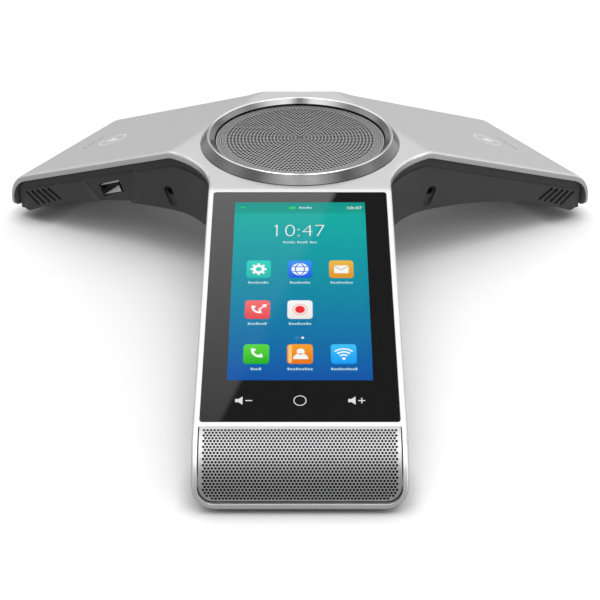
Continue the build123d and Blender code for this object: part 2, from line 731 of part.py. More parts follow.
def usb_board():
    return on_usb(Pos(0, USB_HEIGHT / 2 + 0.6, -12.0) * Box(20.0, 1.2, 15.0))


def network_jack():
    """Modular socket: a rectangular mouth with a latch slot below and eight contacts above."""
    width, depth, height = NETWORK_SIZE
    body = Pos(0, NETWORK_FACE_Y - depth / 2, NETWORK_Z + height / 2) * Box(width, depth, height)
    plug_z = NETWORK_Z + PLUG_HEIGHT
    plug = Pos(0, NETWORK_FACE_Y - 6, plug_z) * Box(11.8, 14, 6.8)
    latch = Pos(0, NETWORK_FACE_Y - 6, plug_z - 4.2) * Box(6.2, 14, 2.0)
    contact = Pos(0, NETWORK_FACE_Y - 8, plug_z + 3.2) * Box(0.4, 9, 0.7)
    contacts = together(Pos((i - 3.5) * CONTACT_PITCH, 0, 0) * contact for i in range(8))
    return body - plug - latch + contacts


def network_board():
    return Pos(0, NETWORK_FACE_Y - 11.0, NETWORK_Z - 0.6) * Box(24, 20.0, 1.2)


def mic_jack(arm):
    place = on_wall(arm, JACK_T, JACK_Z, CAVITY_INSET - WALL_INSET + 0.1)
    body = Pos(0, 0, -JACK_LENGTH / 2) * Box(6.4, 6.4, JACK_LENGTH)
    nose = Pos(0, 0, 0.7) * Cylinder(JACK_BORE_R + 0.4, 1.5)
    bore = Pos(0, 0, 1.5 - JACK_LENGTH / 2) * Cylinder(JACK_BORE_R, JACK_LENGTH + 1)
    return place * (body + nose - bore)


MIC_T = 138.0
MIC_Z = 24.6
BOOT_R = 6.0
BOOT_LENGTH = 8.0
CAPSULE_R = 4.85


def mic_place(arm):
    """Location of a microphone's front face, Z pointing towards its slots or grille."""
    if arm is FRONT:
        tilt = radians(45)
        spot = Vector(0, -201.0, 19.5)
        return Plane(origin=spot, x_dir=(1, 0, 0), z_dir=(0, -sin(tilt), cos(tilt))).location
    return on_wall(arm, MIC_T, MIC_Z, CAVITY_INSET - WALL_INSET + LEDGE_WIDTH + 0.3)


def mic_boot(arm):
    boot = Pos(0, 0, -BOOT_LENGTH / 2) * Cylinder(BOOT_R, BOOT_LENGTH)
    boot -= Pos(0, 0, -BOOT_LENGTH / 2 - 1.5) * Cylinder(CAPSULE_R + 0.05, BOOT_LENGTH)
    boot -= Cylinder(2.5, 10)
    return mic_place(arm) * boot


def microphone(arm):
    can = Pos(0, 0, -1.6 - 2.5) * Cylinder(CAPSULE_R, 5.0)
    port = Pos(0, 0, -1.6) * Cylinder(1.0, 1.0)
    return mic_place(arm) * (can - port)


def under_cover(arm, t, s):
    """Location on the underside of the cover's skin on a rear arm, X down the slope."""
    ceiling = arm.place(t, s, arm.top_z(t, COVER_SKIN + 0.1))
    return ceiling * Rot(0, degrees(arm.slope), 0)


def mute_board(arm):
    """Touch-key board with its indicator lamps, under the cover near an arm's tip."""
    board = Pos(0, 0, -0.5) * Box(22, 40, 1.0)
    for s in (-14, 0, 14):
        board += Pos(-7, s, -1.4) * Box(2.8, 3.5, 1.0)
    return under_cover(arm, 131, 0) * board


def antenna():
    return under_cover(RIGHT, 84, 10) * Pos(0, 0, -0.3) * Box(30, 9, 0.6)


def speaker_leads():
    leads = []
    z = UNDER_Z + 9
    for x in (-1.3, 1.3):
        path = Polyline((x, -26.5, z), (x, -64.0, z), (x, -74.0, FRONT.top_z(74.0, BOARD_DEPTH + 1.2)))
        start = Plane(origin=path @ 0, z_dir=(0, -1, 0))
        leads.append(sweep(start * Circle(0.7), path=path, transition=Transition.ROUND))
    return together(leads)


def display_tray():
    tray = on_screen(64.0, (-GLASS_LENGTH + 22.0, -5.0), (-4.2, -3.4))
    return tray - on_screen(20, (-106, -98), (-5, -2))


def write_parts():
    os.makedirs("parts", exist_ok=True)
    walls = housing()
    parts = {
        "top_cover": top_cover(),
        "base_shell": walls - socket_panel_block(SOCKET_PANEL_GAP),
        "socket_panel": walls & socket_panel_block(0),
        "bottom_cover": bottom_cover(),
        "left_foot": foot(LEFT, REAR_FOOT_SPAN, REAR_FOOT_HALF_WIDTH, TIP_BASE_Z),
        "right_foot": foot(RIGHT, REAR_FOOT_SPAN, REAR_FOOT_HALF_WIDTH, TIP_BASE_Z),
        "front_foot": foot(FRONT, FRONT_FOOT_SPAN, FRONT_FOOT_HALF_WIDTH, NOSE_BASE_Z),
        "speaker_ring": speaker_ring(),
        "speaker_mesh": speaker_mesh(),
        "speaker_cloth": Pos(0, 0, MESH_Z - 0.25) * Cylinder(MESH_R - 1.8, 0.3),
        "nose_grille": nose_grille(),
        "grille_cloth": grille_cloth(),
        "touch_glass": glass_slab(0, -GLASS_THICK - 0.1, -0.1),
        "display_panel": on_screen(
            PANEL_WIDTH, (PANEL_TOP_Y - PANEL_LENGTH, PANEL_TOP_Y), (-3.3, -GLASS_THICK - 0.2)
        ),
        "display_tray": display_tray(),
        "touch_key_board": on_screen(68.0, (-134.5, -122.5), (-2.1, -GLASS_THICK - 0.2)),
        "display_ribbon": display_ribbon(),
        "main_board": main_board(),
        "shield_can": shield_can(),
        "usb_port": usb_port(),
        "usb_board": usb_board(),
        "network_jack": network_jack(),
        "network_board": network_board(),
        "wireless_antenna": antenna(),
        "speaker_basket": basket(),
        "magnet_yoke": magnet_yoke(),
        "ring_magnet": ring(15.2, 24.6, YOKE_Z + 3.0, MAGNET_TOP_Z),
        "top_plate": ring(GAP_R, 24.0, MAGNET_TOP_Z, PLATE_TOP_Z),
        "voice_coil": voice_coil(),
        "speaker_cone": speaker_cone(),
        "dust_cap": dust_cap(),
        "cone_surround": surround(),
        "coil_spider": spider(),
        "speaker_gasket": ring(SURROUND_R + 0.2, FLANGE_R, FLANGE_Z, RIM_Z - 4.9),
        "speaker_enclosure": speaker_enclosure(),
        "speaker_leads": speaker_leads(),
    }
    for arm in ARMS:
        parts[f"{arm.name}_microphone"] = microphone(arm)
        parts[f"{arm.name}_microphone_boot"] = mic_boot(arm)
    for arm in REAR_ARMS:
        parts[f"{arm.name}_extension_jack"] = mic_jack(arm)
        parts[f"{arm.name}_mute_board"] = mute_board(arm)

    parts["cover_screws"] = together(cover_screw(arm, t, s) for arm, t, s in COVER_POSTS)
    footprint = parts["top_cover"].bounding_box()
    to_centre = Pos(0, -(footprint.min.Y + footprint.max.Y) / 2, 0)
    for name, shape in parts.items():
        export_step(to_centre * shape, f"parts/{name}.step")


write_parts()
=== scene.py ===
"""Looks for a three-armed conference desk phone with a touch screen in its front arm.

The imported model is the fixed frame. This script gives each carried-over part a node material,
builds the perforated metal, the lit screen and the printed marks as meshes, and sets up a pale
studio. Named lengths are millimetres, apart from those with MM already in them and the places
and sizes of the camera, the floor and the softbox, which are metres.
"""
from math import acos, cos, pi, radians, sin, sqrt

import bmesh
import bpy
from mathutils import Matrix, Vector
from mathutils.geometry import delaunay_2d_cdt


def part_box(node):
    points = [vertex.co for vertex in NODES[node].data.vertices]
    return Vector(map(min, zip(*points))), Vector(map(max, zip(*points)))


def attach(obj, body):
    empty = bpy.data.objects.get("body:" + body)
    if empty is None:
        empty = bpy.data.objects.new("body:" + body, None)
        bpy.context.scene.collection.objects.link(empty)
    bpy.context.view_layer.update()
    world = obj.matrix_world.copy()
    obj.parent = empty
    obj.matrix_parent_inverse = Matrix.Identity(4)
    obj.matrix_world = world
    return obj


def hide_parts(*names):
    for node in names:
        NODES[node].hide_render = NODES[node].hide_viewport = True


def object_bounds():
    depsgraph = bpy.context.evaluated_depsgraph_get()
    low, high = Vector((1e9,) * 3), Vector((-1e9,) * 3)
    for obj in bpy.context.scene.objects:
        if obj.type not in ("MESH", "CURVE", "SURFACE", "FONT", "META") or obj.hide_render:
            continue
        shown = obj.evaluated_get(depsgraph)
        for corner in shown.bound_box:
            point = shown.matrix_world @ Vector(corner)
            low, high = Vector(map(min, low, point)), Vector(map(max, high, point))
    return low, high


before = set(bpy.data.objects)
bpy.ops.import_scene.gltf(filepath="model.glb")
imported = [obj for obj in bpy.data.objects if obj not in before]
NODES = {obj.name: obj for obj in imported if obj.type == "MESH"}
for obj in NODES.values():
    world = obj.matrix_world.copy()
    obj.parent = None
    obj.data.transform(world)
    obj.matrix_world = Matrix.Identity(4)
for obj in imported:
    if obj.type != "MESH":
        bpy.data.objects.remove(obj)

CAD_LOW, CAD_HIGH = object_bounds()
HOUSING = "housing"
MM = 0.001


# ---------------------------------------------------------------- camera
CAMERA_PLACE = Vector((0.0, -0.6002, 0.3659))
CAMERA_TILT = radians(31.34)
CAMERA_LENS = 82.0
SENSOR_WIDTH = 36.0


def add_camera():
    """Camera in front of the phone, looking down at it."""
    data = bpy.data.cameras.new("camera")
    data.lens = CAMERA_LENS
    data.sensor_width = SENSOR_WIDTH
    camera = bpy.data.objects.new("camera", data)
    camera.location = CAMERA_PLACE
    camera.rotation_euler = (pi / 2 - CAMERA_TILT, 0, 0)
    bpy.context.scene.collection.objects.link(camera)
    bpy.context.scene.camera = camera


# ---------------------------------------------------------------- mesh helpers
SMOOTH_ANGLE = radians(32)
WELD_REACH = 1e-7
SAME_POINT = 1e-5


def soften(mesh):
    """Smooth shading, with a crease wherever two faces meet at more than the smooth angle."""
    work = bmesh.new()
    work.from_mesh(mesh)
    for face in work.faces:
        face.smooth = True
    for edge in work.edges:
        edge.smooth = len(edge.link_faces) == 2 and edge.calc_face_angle(pi) < SMOOTH_ANGLE
    work.to_mesh(mesh)
    work.free()


def add_piece(name, mesh, material, matrix=None):
    """Link a finished mesh as a piece that rides on the housing."""
    piece = bpy.data.objects.new(name, mesh)
    bpy.context.scene.collection.objects.link(piece)
    if matrix is not None:
        piece.matrix_world = matrix
    mesh.materials.clear()
    mesh.materials.append(material)
    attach(piece, HOUSING)
    return piece


def circle(radius, x=0.0, y=0.0, sides=48):
    """Points of a circle, anticlockwise."""
    steps = [2 * pi * i / sides for i in range(sides)]
    return [(x + radius * cos(a), y + radius * sin(a)) for a in steps]


def arc(radius, start, finish, x=0.0, y=0.0, sides=16):
    """Points of an arc between two angles, both ends included."""
    steps = [start + (finish - start) * i / sides for i in range(sides + 1)]
    return [(x + radius * cos(a), y + radius * sin(a)) for a in steps]


def rounded(width, height, corner, x=0.0, y=0.0):
    """Rectangle with round corners, anticlockwise."""
    loop = []
    for quarter, (side_x, side_y) in enumerate([(1, 1), (-1, 1), (-1, -1), (1, -1)]):
        centre = (x + side_x * (width / 2 - corner), y + side_y * (height / 2 - corner))
        loop += arc(corner, quarter * pi / 2, (quarter + 1) * pi / 2, *centre, sides=6)
    return loop


def moved(loop, x=0.0, y=0.0, turn=0.0, scale=1.0):
    """An outline scaled and turned about 0, then shifted."""
    c = cos(turn) * scale
    s = sin(turn) * scale
    return [(x + px * c - py * s, y + px * s + py * c) for px, py in loop]


def mesh_from_object(maker):
    """Mesh of a curve or text object, which is then thrown away."""
    bpy.context.scene.collection.objects.link(maker)
    graph = bpy.context.evaluated_depsgraph_get()
    mesh = bpy.data.meshes.new_from_object(maker.evaluated_get(graph))
    data = maker.data
    bpy.data.objects.remove(maker)
    bpy.data.curves.remove(data)
    return mesh


def flat_mesh(name, loops, thickness):
    """Thin closed plate from outlines in millimetres; an outline inside another is a hole."""
    curve = bpy.data.curves.new(name, "CURVE")
    curve.dimensions = "2D"
    curve.fill_mode = "BOTH"
    curve.extrude = thickness / 2
    for loop in loops:
        spline = curve.splines.new("POLY")
        spline.points.add(len(loop) - 1)
        spline.use_cyclic_u = True
        for point, (x, y) in zip(spline.points, loop):
            point.co = (x * MM, y * MM, 0, 1)
    mesh = mesh_from_object(bpy.data.objects.new(name, curve))
    return welded(mesh)


def welded(mesh):
    """Join the fill and the sides of a plate into one closed surface."""
    work = bmesh.new()
    work.from_mesh(mesh)
    bmesh.ops.remove_doubles(work, verts=work.verts, dist=WELD_REACH)
    bmesh.ops.recalc_face_normals(work, faces=work.faces)
    work.to_mesh(mesh)
    work.free()
    return mesh


def digits_mesh(name, text, width, height, centre, thickness, thin):
    """Clock digits, scaled to fill a box given in millimetres."""
    data = bpy.data.curves.new(name, "FONT")
    data.body = text
    data.extrude = thickness / 2
    data.size = height * MM
    data.offset = -thin * MM
    mesh = welded(mesh_from_object(bpy.data.objects.new(name, data)))
    xs = [v.co.x for v in mesh.vertices]
    ys = [v.co.y for v in mesh.vertices]
    left, foot = min(xs), min(ys)
    scale_x = width * MM / (max(xs) - left)
    scale_y = height * MM / (max(ys) - foot)
    for vertex in mesh.vertices:
        vertex.co.x = (vertex.co.x - left) * scale_x + (centre[0] - width / 2) * MM
        vertex.co.y = (vertex.co.y - foot) * scale_y + (centre[1] - height / 2) * MM
    return mesh


def perforated_mesh(name, outline, holes, surface, thickness):
    """Sheet with round holes. Outline and holes are flat, in millimetres; surface bends them.

    holes holds (x, y, radius, sides), and surface(x, y, depth) returns the place of a point
    that lies depth under the sheet's outer face.
    """
    points = [Vector(p) for p in outline]
    owner = [-1] * len(outline)
    loops = [list(range(len(outline)))]
    for index, (x, y, radius, sides) in enumerate(holes):
        first = len(points)
        points += [Vector(p) for p in circle(radius, x, y, sides)]
        owner += [index] * sides
        loops.append(list(range(first, first + sides)))
    edges = [(loop[i - 1], loop[i]) for loop in loops for i in range(len(loop))]
    found = delaunay_2d_cdt(points, edges, [], 0, SAME_POINT)
    flat, triangles, sources = found[0], found[2], found[3]
    ids = [source[0] for source in sources]
    count = len(flat)
    vertices = [surface(p.x, p.y, 0.0) for p in flat]
    vertices += [surface(p.x, p.y, thickness) for p in flat]
    faces = []
    for a, b, c in triangles:
        # A triangle with all its corners on one hole's rim lies inside that hole.
        tags = {owner[ids[a]], owner[ids[b]], owner[ids[c]]}
        if len(tags) == 1 and -1 not in tags:
            continue
        faces.append((a, b, c))
        faces.append((c + count, b + count, a + count))
    place = {source: position for position, source in enumerate(ids)}
    for loop in loops:
        for i in range(len(loop)):
            a = place[loop[i - 1]]
            b = place[loop[i]]
            faces.append((a, b, b + count, a + count))
    mesh = bpy.data.meshes.new(name)
    mesh.from_pydata(vertices, [], faces)
    work = bmesh.new()
    work.from_mesh(mesh)
    bmesh.ops.recalc_face_normals(work, faces=work.faces)
    work.to_mesh(mesh)
    work.free()
    soften(mesh)
    return mesh


# ---------------------------------------------------------------- material helpers
# Scales given to noise, cells and wave count features per metre, in Blender's own units.
# Depths given to bump and radii given to edges are millimetres.


def srgb(red, green, blue):
    """Linear colour from the 0 to 255 values a paint chart gives."""
    parts = []
    for value in (red, green, blue):
        part = value / 255
        parts.append(part / 12.92 if part <= 0.04045 else ((part + 0.055) / 1.055) ** 2.4)
    return (*parts, 1.0)


def grey(value):
    """Grey colour of one linear level."""
    return (value, value, value, 1.0)


class Graph:
    """A node tree written as nested calls, each of which returns an output socket."""

    def __init__(self, tree):
        self.tree = tree
        self.tree.nodes.clear()

    def put(self, socket, value):
        if isinstance(value, bpy.types.NodeSocket):
            self.tree.links.new(value, socket)
        else:
            socket.default_value = value

    def node(self, kind, inputs, **settings):
        made = self.tree.nodes.new("ShaderNode" + kind)
        for key, value in settings.items():
            setattr(made, key, value)
        for key, value in inputs.items():
            self.put(made.inputs[key], value)
        return made

    def place(self, kind="Object"):
        return self.node("TexCoord", {}).outputs[kind]

    def stretched(self, x, y, z):
        """Object coordinates scaled per axis, for grain that runs one way."""
        return self.node("Mapping", {"Vector": self.place(), "Scale": (x, y, z)}).outputs[0]

    def noise(self, scale, detail=2.0, vector=None):
        inputs = {"Scale": scale, "Detail": detail, "Vector": vector or self.place()}
        return self.node("TexNoise", inputs).outputs[0]

    def cells(self, scale):
        inputs = {"Scale": scale, "Vector": self.place()}
        return self.node("TexVoronoi", inputs, feature="F1").outputs[0]

    def wave(self, scale, direction="X", bands="BANDS"):
        inputs = {"Scale": scale, "Vector": self.place()}
        settings = {"wave_type": bands, "wave_profile": "SIN"}
        settings["bands_direction" if bands == "BANDS" else "rings_direction"] = direction
        return self.node("TexWave", inputs, **settings).outputs[1]

    def math(self, operation, a, b=0.0):
        return self.node("Math", {0: a, 1: b}, operation=operation).outputs[0]

    def vector_math(self, operation, a, b=(0, 0, 0)):
        made = self.node("VectorMath", {0: a, 1: b}, operation=operation)
        return made.outputs[1 if operation == "DOT_PRODUCT" else 0]

    def split(self, vector):
        return self.node("SeparateXYZ", {0: vector}).outputs

    def span(self, value, low, high, first=0.0, last=1.0):
        """Maps low..high to first..last, held at both ends."""
        inputs = {"Value": value, 1: low, 2: high, 3: first, 4: last}
        return self.node("MapRange", inputs).outputs[0]

    def mix(self, factor, a, b):
        """Colour a where the factor is 0, and colour b where it is 1."""
        return self.node("Mix", {0: factor, 6: a, 7: b}, data_type="RGBA").outputs[2]

    def stops(self, value, pairs):
        """Grey level read from (position, level) pairs along a value from 0 to 1."""
        made = self.node("ValToRGB", {0: value})
        ramp = made.color_ramp
        while len(ramp.elements) < len(pairs):
            ramp.elements.new(0.5)
        for element, (position, level) in zip(ramp.elements, pairs):
            element.position = position
            element.color = grey(level)
        return made.outputs[0]

    def edges(self, radius):
        """Normal with the sharp edges of a part softened to a small radius."""
        return self.node("Bevel", {"Radius": radius * MM}, samples=6).outputs[0]

    def bump(self, height, depth, normal=None):
        inputs = {"Height": height, "Distance": depth * MM, "Strength": 1.0}
        if normal is not None:
            inputs["Normal"] = normal
        return self.node("Bump", inputs).outputs[0]


class Paint(Graph):
    """A material whose surface is set by one of the finishing calls."""

    def __init__(self, name):
        self.material = bpy.data.materials.new(name)
        self.material.use_nodes = True
        super().__init__(self.material.node_tree)

    def surface(self, shader):
        output = self.node("OutputMaterial", {})
        self.put(output.inputs["Surface"], shader)
        return self.material

    def solid(self, colour, roughness, metallic=0.0, normal=None, **extra):
        inputs = {"Base Color": colour, "Roughness": roughness, "Metallic": metallic}
        if normal is not None:
            inputs["Normal"] = normal
        inputs.update({key.replace("_", " "): value for key, value in extra.items()})
        return self.surface(self.node("BsdfPrincipled", inputs).outputs[0])


# ---------------------------------------------------------------- materials of the casing
# Near black painted on the walls of the holes in the perforated sheets, as painted shade inside the
# holes.
PAINTED_HOLE_SHADE = 0.008
RIM_CUT = 0.34
RIM_BLEND = 0.06
THROAT_RADIUS = 44.35
RING_FOOT = 4.3


def silver_cover():
    """Satin silver paint: fine metal flakes under a thin clear coat."""
    p = Paint("silver_cover")
    flake = p.span(p.noise(7000, 1), 0.35, 0.65)
    cloud = p.noise(25, 3)
    base = p.mix(cloud, grey(0.66), grey(0.71))
    colour = p.mix(flake, base, grey(0.82))
    roughness = p.span(p.noise(5200, 1), 0.3, 0.7, 0.30, 0.42)
    normal = p.bump(p.noise(4200, 2), 0.012, p.edges(0.35))
    return p.solid(colour, roughness, 0.86, normal, Coat_Weight=0.12, Coat_Roughness=0.25)


def dark_housing():
    """Charcoal moulded plastic with a fine spark-eroded grain."""
    p = Paint("dark_housing")
    grain = p.noise(2600, 3)
    colour = p.mix(p.noise(60, 3), grey(0.042), grey(0.054))
    colour = p.mix(p.span(grain, 0.4, 0.7, 0.0, 0.5), colour, grey(0.072))
    roughness = p.span(p.noise(900, 2), 0.3, 0.7, 0.36, 0.48)
    normal = p.bump(grain, 0.03, p.edges(0.4))
    return p.solid(colour, roughness, 0.0, normal)


def foot_rubber():
    """Black rubber with fine pores."""
    p = Paint("foot_rubber")
    pores = p.cells(1800)
    colour = p.mix(p.noise(300, 3), grey(0.014), grey(0.028))
    return p.solid(colour, 0.72, 0.0, p.bump(pores, 0.05, p.edges(0.3)))


def ring_metal(low, high):
    """Turned gunmetal ring: bright cut along its top edge, with painted shade that makes its throat
    black.
    """
    p = Paint("ring_metal")
    x, y, z = p.split(p.place())
    centre = (low + high) / 2
    reach_x = p.math("SUBTRACT", x, centre.x)
    reach_y = p.math("SUBTRACT", y, centre.y)
    reach = p.node("CombineXYZ", {0: reach_x, 1: reach_y}).outputs[0]
    radius = p.node("VectorMath", {0: reach}, operation="LENGTH").outputs[1]
    lathe = p.wave(9000, bands="RINGS", direction="Z")
    wear = p.noise(90, 3)
    dark = p.mix(wear, grey(0.20), grey(0.24))
    rim = p.span(z, high.z - RIM_CUT * MM, high.z - (RIM_CUT - RIM_BLEND) * MM)
    colour = p.mix(rim, dark, grey(0.80))
    # Painted shade: inside the throat the ring is painted near black.
    throat = p.math("LESS_THAN", radius, THROAT_RADIUS * MM)
    colour = p.mix(throat, colour, grey(0.012))
    seam = p.math("LESS_THAN", z, high.z - RING_FOOT * MM)
    colour = p.mix(seam, colour, grey(0.03))
    roughness = p.span(p.noise(500, 2), 0.3, 0.7, 0.12, 0.17)
    tangent = p.node("Tangent", {}, direction_type="RADIAL", axis="Z").outputs[0]
    normal = p.bump(lathe, 0.002, p.edges(0.2))
    return p.solid(colour, roughness, 1.0, normal, Anisotropic=0.35, Tangent=tangent)


# Painted shade on the hole walls: below the first value the colour is near black, above the second
# it is the metal's own.
HOLE_WALL_SHADE_SPAN = (0.5, 0.8)


def mesh_metal():
    """Satin steel of the loudspeaker's perforated disc, with painted shade: the walls of its holes
    are painted black.
    """
    p = Paint("mesh_metal")
    colour = p.mix(p.noise(1500, 2), grey(0.44), grey(0.56))
    upright = p.split(p.node("NewGeometry", {}).outputs["True Normal"])[2]
    # Painted shade: upright faces, the walls of the holes, are painted near black.
    colour = p.mix(p.span(upright, *HOLE_WALL_SHADE_SPAN), grey(PAINTED_HOLE_SHADE), colour)
    roughness = p.span(p.noise(2600, 2), 0.3, 0.7, 0.26, 0.38)
    return p.solid(colour, roughness, 1.0, p.bump(p.noise(6000, 1), 0.006, p.edges(0.12)))


def sheet_facing(p):
    """1 on the faces of the sheet wrapped round the nose, 0 on the walls of its holes, where painted
    shade goes.
    """
    low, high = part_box("nose_grille")
    place = p.split(p.place())
    y = p.math("SUBTRACT", place[1], low.y + GRILLE_RADIUS * MM)
    z = p.math("SUBTRACT", place[2], high.z - GRILLE_RADIUS * MM * SCREEN.col[2].z)
    outward = p.node("CombineXYZ", {1: y, 2: z}).outputs[0]
    outward = p.vector_math("NORMALIZE", outward)
    normal = p.node("NewGeometry", {}).outputs["True Normal"]
    return p.math("ABSOLUTE", p.vector_math("DOT_PRODUCT", outward, normal))


def grille_metal():
    """Bright satin aluminium of the nose grille, with painted shade: the walls of its holes are
    painted black.
    """
    p = Paint("grille_metal")
    streak = p.noise(900, 2, p.stretched(0.12, 1, 1))
    colour = p.mix(streak, grey(0.46), grey(0.58))
    # Painted shade: the walls of the holes are painted near black.
    colour = p.mix(p.span(sheet_facing(p), *HOLE_WALL_SHADE_SPAN), grey(PAINTED_HOLE_SHADE), colour)
    roughness = p.span(p.noise(2600, 2), 0.3, 0.7, 0.30, 0.42)
    return p.solid(colour, roughness, 0.95, p.bump(p.noise(6000, 1), 0.006, p.edges(0.1)))


def black_cloth():
    """Fine woven acoustic cloth."""
    p = Paint("black_cloth")
    weave = p.math("MULTIPLY", p.wave(1400, direction="X"), p.wave(1400, direction="Y"))
    colour = p.mix(weave, grey(0.004), grey(0.018))
    return p.solid(colour, 0.9, 0.0, p.bump(weave, 0.08), Sheen_Weight=0.2)


# ---------------------------------------------------------------- materials of the inner parts
STREAK_RUN = (1, 0.05, 1)
WEAR_SPREAD = 0.06
MOULD_GRAIN = 2400
# Strength of the painted glint that glows on the connector's level faces.
PORT_GLINT = 0.35


def brushed(name, low, high, roughness):
    """Rolled or drawn metal with streaks along one direction."""
    p = Paint(name)
    streak = p.noise(2200, 3, p.stretched(*STREAK_RUN))
    colour = p.mix(streak, low, high)
    rough = p.span(p.noise(400, 3), 0.3, 0.7, roughness - WEAR_SPREAD, roughness + WEAR_SPREAD)
    return p.solid(colour, rough, 1.0, p.bump(streak, 0.006, p.edges(0.1)))


def port_metal():
    """Connector shell with painted light: walls painted near black as shade, level faces and tongue
    painted bright, lighter with height, and glowing as a glint.
    """
    p = Paint("port_metal")
    low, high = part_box("usb_port")
    height = p.split(p.place())[2]
    upright = p.split(p.node("NewGeometry", {}).outputs["True Normal"])[2]
    # Painted highlight on level faces and painted shade on the rest, chosen by how far each face
    # turns up or down.
    painted_glint_faces = p.span(p.math("ABSOLUTE", upright), 0.70, 0.80)
    shade = p.span(height, low.z, high.z, 0.45, 0.75)
    colour = p.mix(painted_glint_faces, grey(0.03), p.mix(p.noise(900, 2), grey(0.55), shade))
    normal = p.bump(p.noise(2400, 2), 0.01, p.edges(0.1))
    glint = p.math("MULTIPLY", painted_glint_faces, PORT_GLINT)
    return p.solid(colour, 0.3, 0.8, normal, Emission_Color=colour, Emission_Strength=glint)


def circuit_board():
    """Green solder mask over copper traces, with tinned pads."""
    p = Paint("circuit_board")
    block = p.cells(420)
    trace = p.span(p.wave(260, direction="DIAGONAL"), 0.62, 0.68)
    mask = p.mix(p.noise(700, 3), srgb(12, 74, 38), srgb(22, 104, 56))
    colour = p.mix(p.math("MULTIPLY", trace, 0.6), mask, srgb(60, 142, 78))
    pads = p.span(block, 0.0, 0.16, 1.0, 0.0)
    colour = p.mix(pads, colour, grey(0.62))
    return p.solid(colour, 0.32, 0.0, p.bump(trace, 0.02, p.edges(0.05)), Coat_Weight=0.4)


def moulded(name, low, high, roughness):
    """Plain moulded plastic with a fine grain."""
    p = Paint(name)
    texture = p.noise(MOULD_GRAIN, 3)
    colour = p.mix(p.noise(120, 3), low, high)
    return p.solid(colour, roughness, 0.0, p.bump(texture, 0.02, p.edges(0.15)))


def magnet_ferrite():
    """Dark sintered ferrite with a speckle."""
    p = Paint("magnet_ferrite")
    speck = p.cells(2600)
    colour = p.mix(speck, grey(0.05), grey(0.11))
    return p.solid(colour, 0.55, 0.0, p.bump(p.noise(3000, 4), 0.03, p.edges(0.15)))


def coil_copper():
    """Turns of enamelled wire round the former."""
    p = Paint("coil_copper")
    turns = p.wave(1900, direction="Z")
    colour = p.mix(turns, srgb(122, 54, 24), srgb(214, 128, 74))
    return p.solid(colour, 0.28, 0.9, p.bump(turns, 0.06))


def cone_paper():
    """Black pressed paper, with its fibres showing."""
    p = Paint("cone_paper")
    fibre = p.noise(1600, 5, p.stretched(1, 0.4, 1))
    colour = p.mix(fibre, grey(0.03), grey(0.08))
    return p.solid(colour, 0.85, 0.0, p.bump(fibre, 0.05))


def surround_rubber():
    """Smooth black rubber."""
    p = Paint("surround_rubber")
    colour = p.mix(p.noise(500, 3), grey(0.02), grey(0.035))
    return p.solid(colour, 0.5, 0.0, p.bump(p.noise(1200, 2), 0.02))


def spider_fabric():
    """Resin-dipped cloth, with its weave showing."""
    p = Paint("spider_fabric")
    weave = p.math("MULTIPLY", p.wave(900, direction="X"), p.wave(900, direction="Y"))
    colour = p.mix(weave, srgb(120, 84, 32), srgb(206, 164, 88))
    return p.solid(colour, 0.7, 0.0, p.bump(weave, 0.08))


def flex_film():
    """Amber polyimide film with copper lines under it."""
    p = Paint("flex_film")
    lines = p.span(p.wave(330, direction="X"), 0.5, 0.6)
    colour = p.mix(lines, srgb(150, 78, 20), srgb(206, 132, 52))
    return p.solid(colour, 0.25, 0.2, p.bump(lines, 0.01), Coat_Weight=0.5)


# ---------------------------------------------------------------- screen
GLASS = NODES["touch_glass"].data
LIT_WIDTH = 62.1
LIT_LENGTH = 110.4
LIT_TOP = 7.3
WINDOW_TOP = 7.0
PRINT_DEPTH = 0.02
GLASS_INDEX = 1.46
COATED_SHARE = 0.2
SHEET = 0.006 * MM
SHEET_GAP = 0.095
SHEET_LIFT = 1.4
LEVEL_STEP = 0.014
# Where the edge of the painted card reflection crosses the glass, and its strength on the print and
# over the window.
CARD_TOP_X = 18.5
CARD_LOW_X = -31.8
CARD_BLEND = 0.004
CARD_ON_PRINT = (0.036, 0.120)
CARD_ON_WINDOW = (0.006, 0.018)
PIXEL_PITCH = 0.0863 * MM
WAVE_RATE = 20


def screen_matrix():
    """Frame on the glass's outer face: x to the right, y up the slope, 0 at the top edge."""
    top = max((p for p in GLASS.polygons if p.normal.z > 0), key=lambda p: p.area)
    right = Vector((1, 0, 0))
    normal = top.normal.normalized()
    up = normal.cross(right)
    reach = max(v.co.dot(up) for v in GLASS.vertices)
    height = max(v.co.dot(normal) for v in GLASS.vertices)
    origin = up * reach + normal * height
    return Matrix.Translation(origin) @ Matrix((right, up, normal)).transposed().to_4x4()


SCREEN = screen_matrix()
SCREEN_BACK = SCREEN.inverted()
GLASS_LENGTH = -min((SCREEN_BACK @ v.co).y for v in GLASS.vertices) / MM
GLASS_WIDTH = 2 * max((SCREEN_BACK @ v.co).x for v in GLASS.vertices) / MM
GLASS_THICK = -min((SCREEN_BACK @ v.co).z for v in GLASS.vertices) / MM


def card_side():
    """Normal of the plane through the edge of the card whose reflection is painted on the glass.

    The edge crosses the glass from CARD_TOP_X at its top to CARD_LOW_X at its foot.
    """
    normal = SCREEN.to_3x3() @ Vector((0, 0, 1))
    mirrored = []
    for x, y in ((CARD_TOP_X, 0.0), (CARD_LOW_X, -GLASS_LENGTH)):
        point = SCREEN @ Vector((x * MM, y * MM, 0))
        ray = (point - CAMERA_PLACE).normalized()
        mirrored.append(ray - 2 * ray.dot(normal) * normal)
    side = mirrored[0].cross(mirrored[1]).normalized()
    left = (SCREEN @ Vector((-GLASS_WIDTH / 2 * MM, 0, 0)) - CAMERA_PLACE).normalized()
    left = left - 2 * left.dot(normal) * normal
    return side if left.dot(side) > 0 else -side


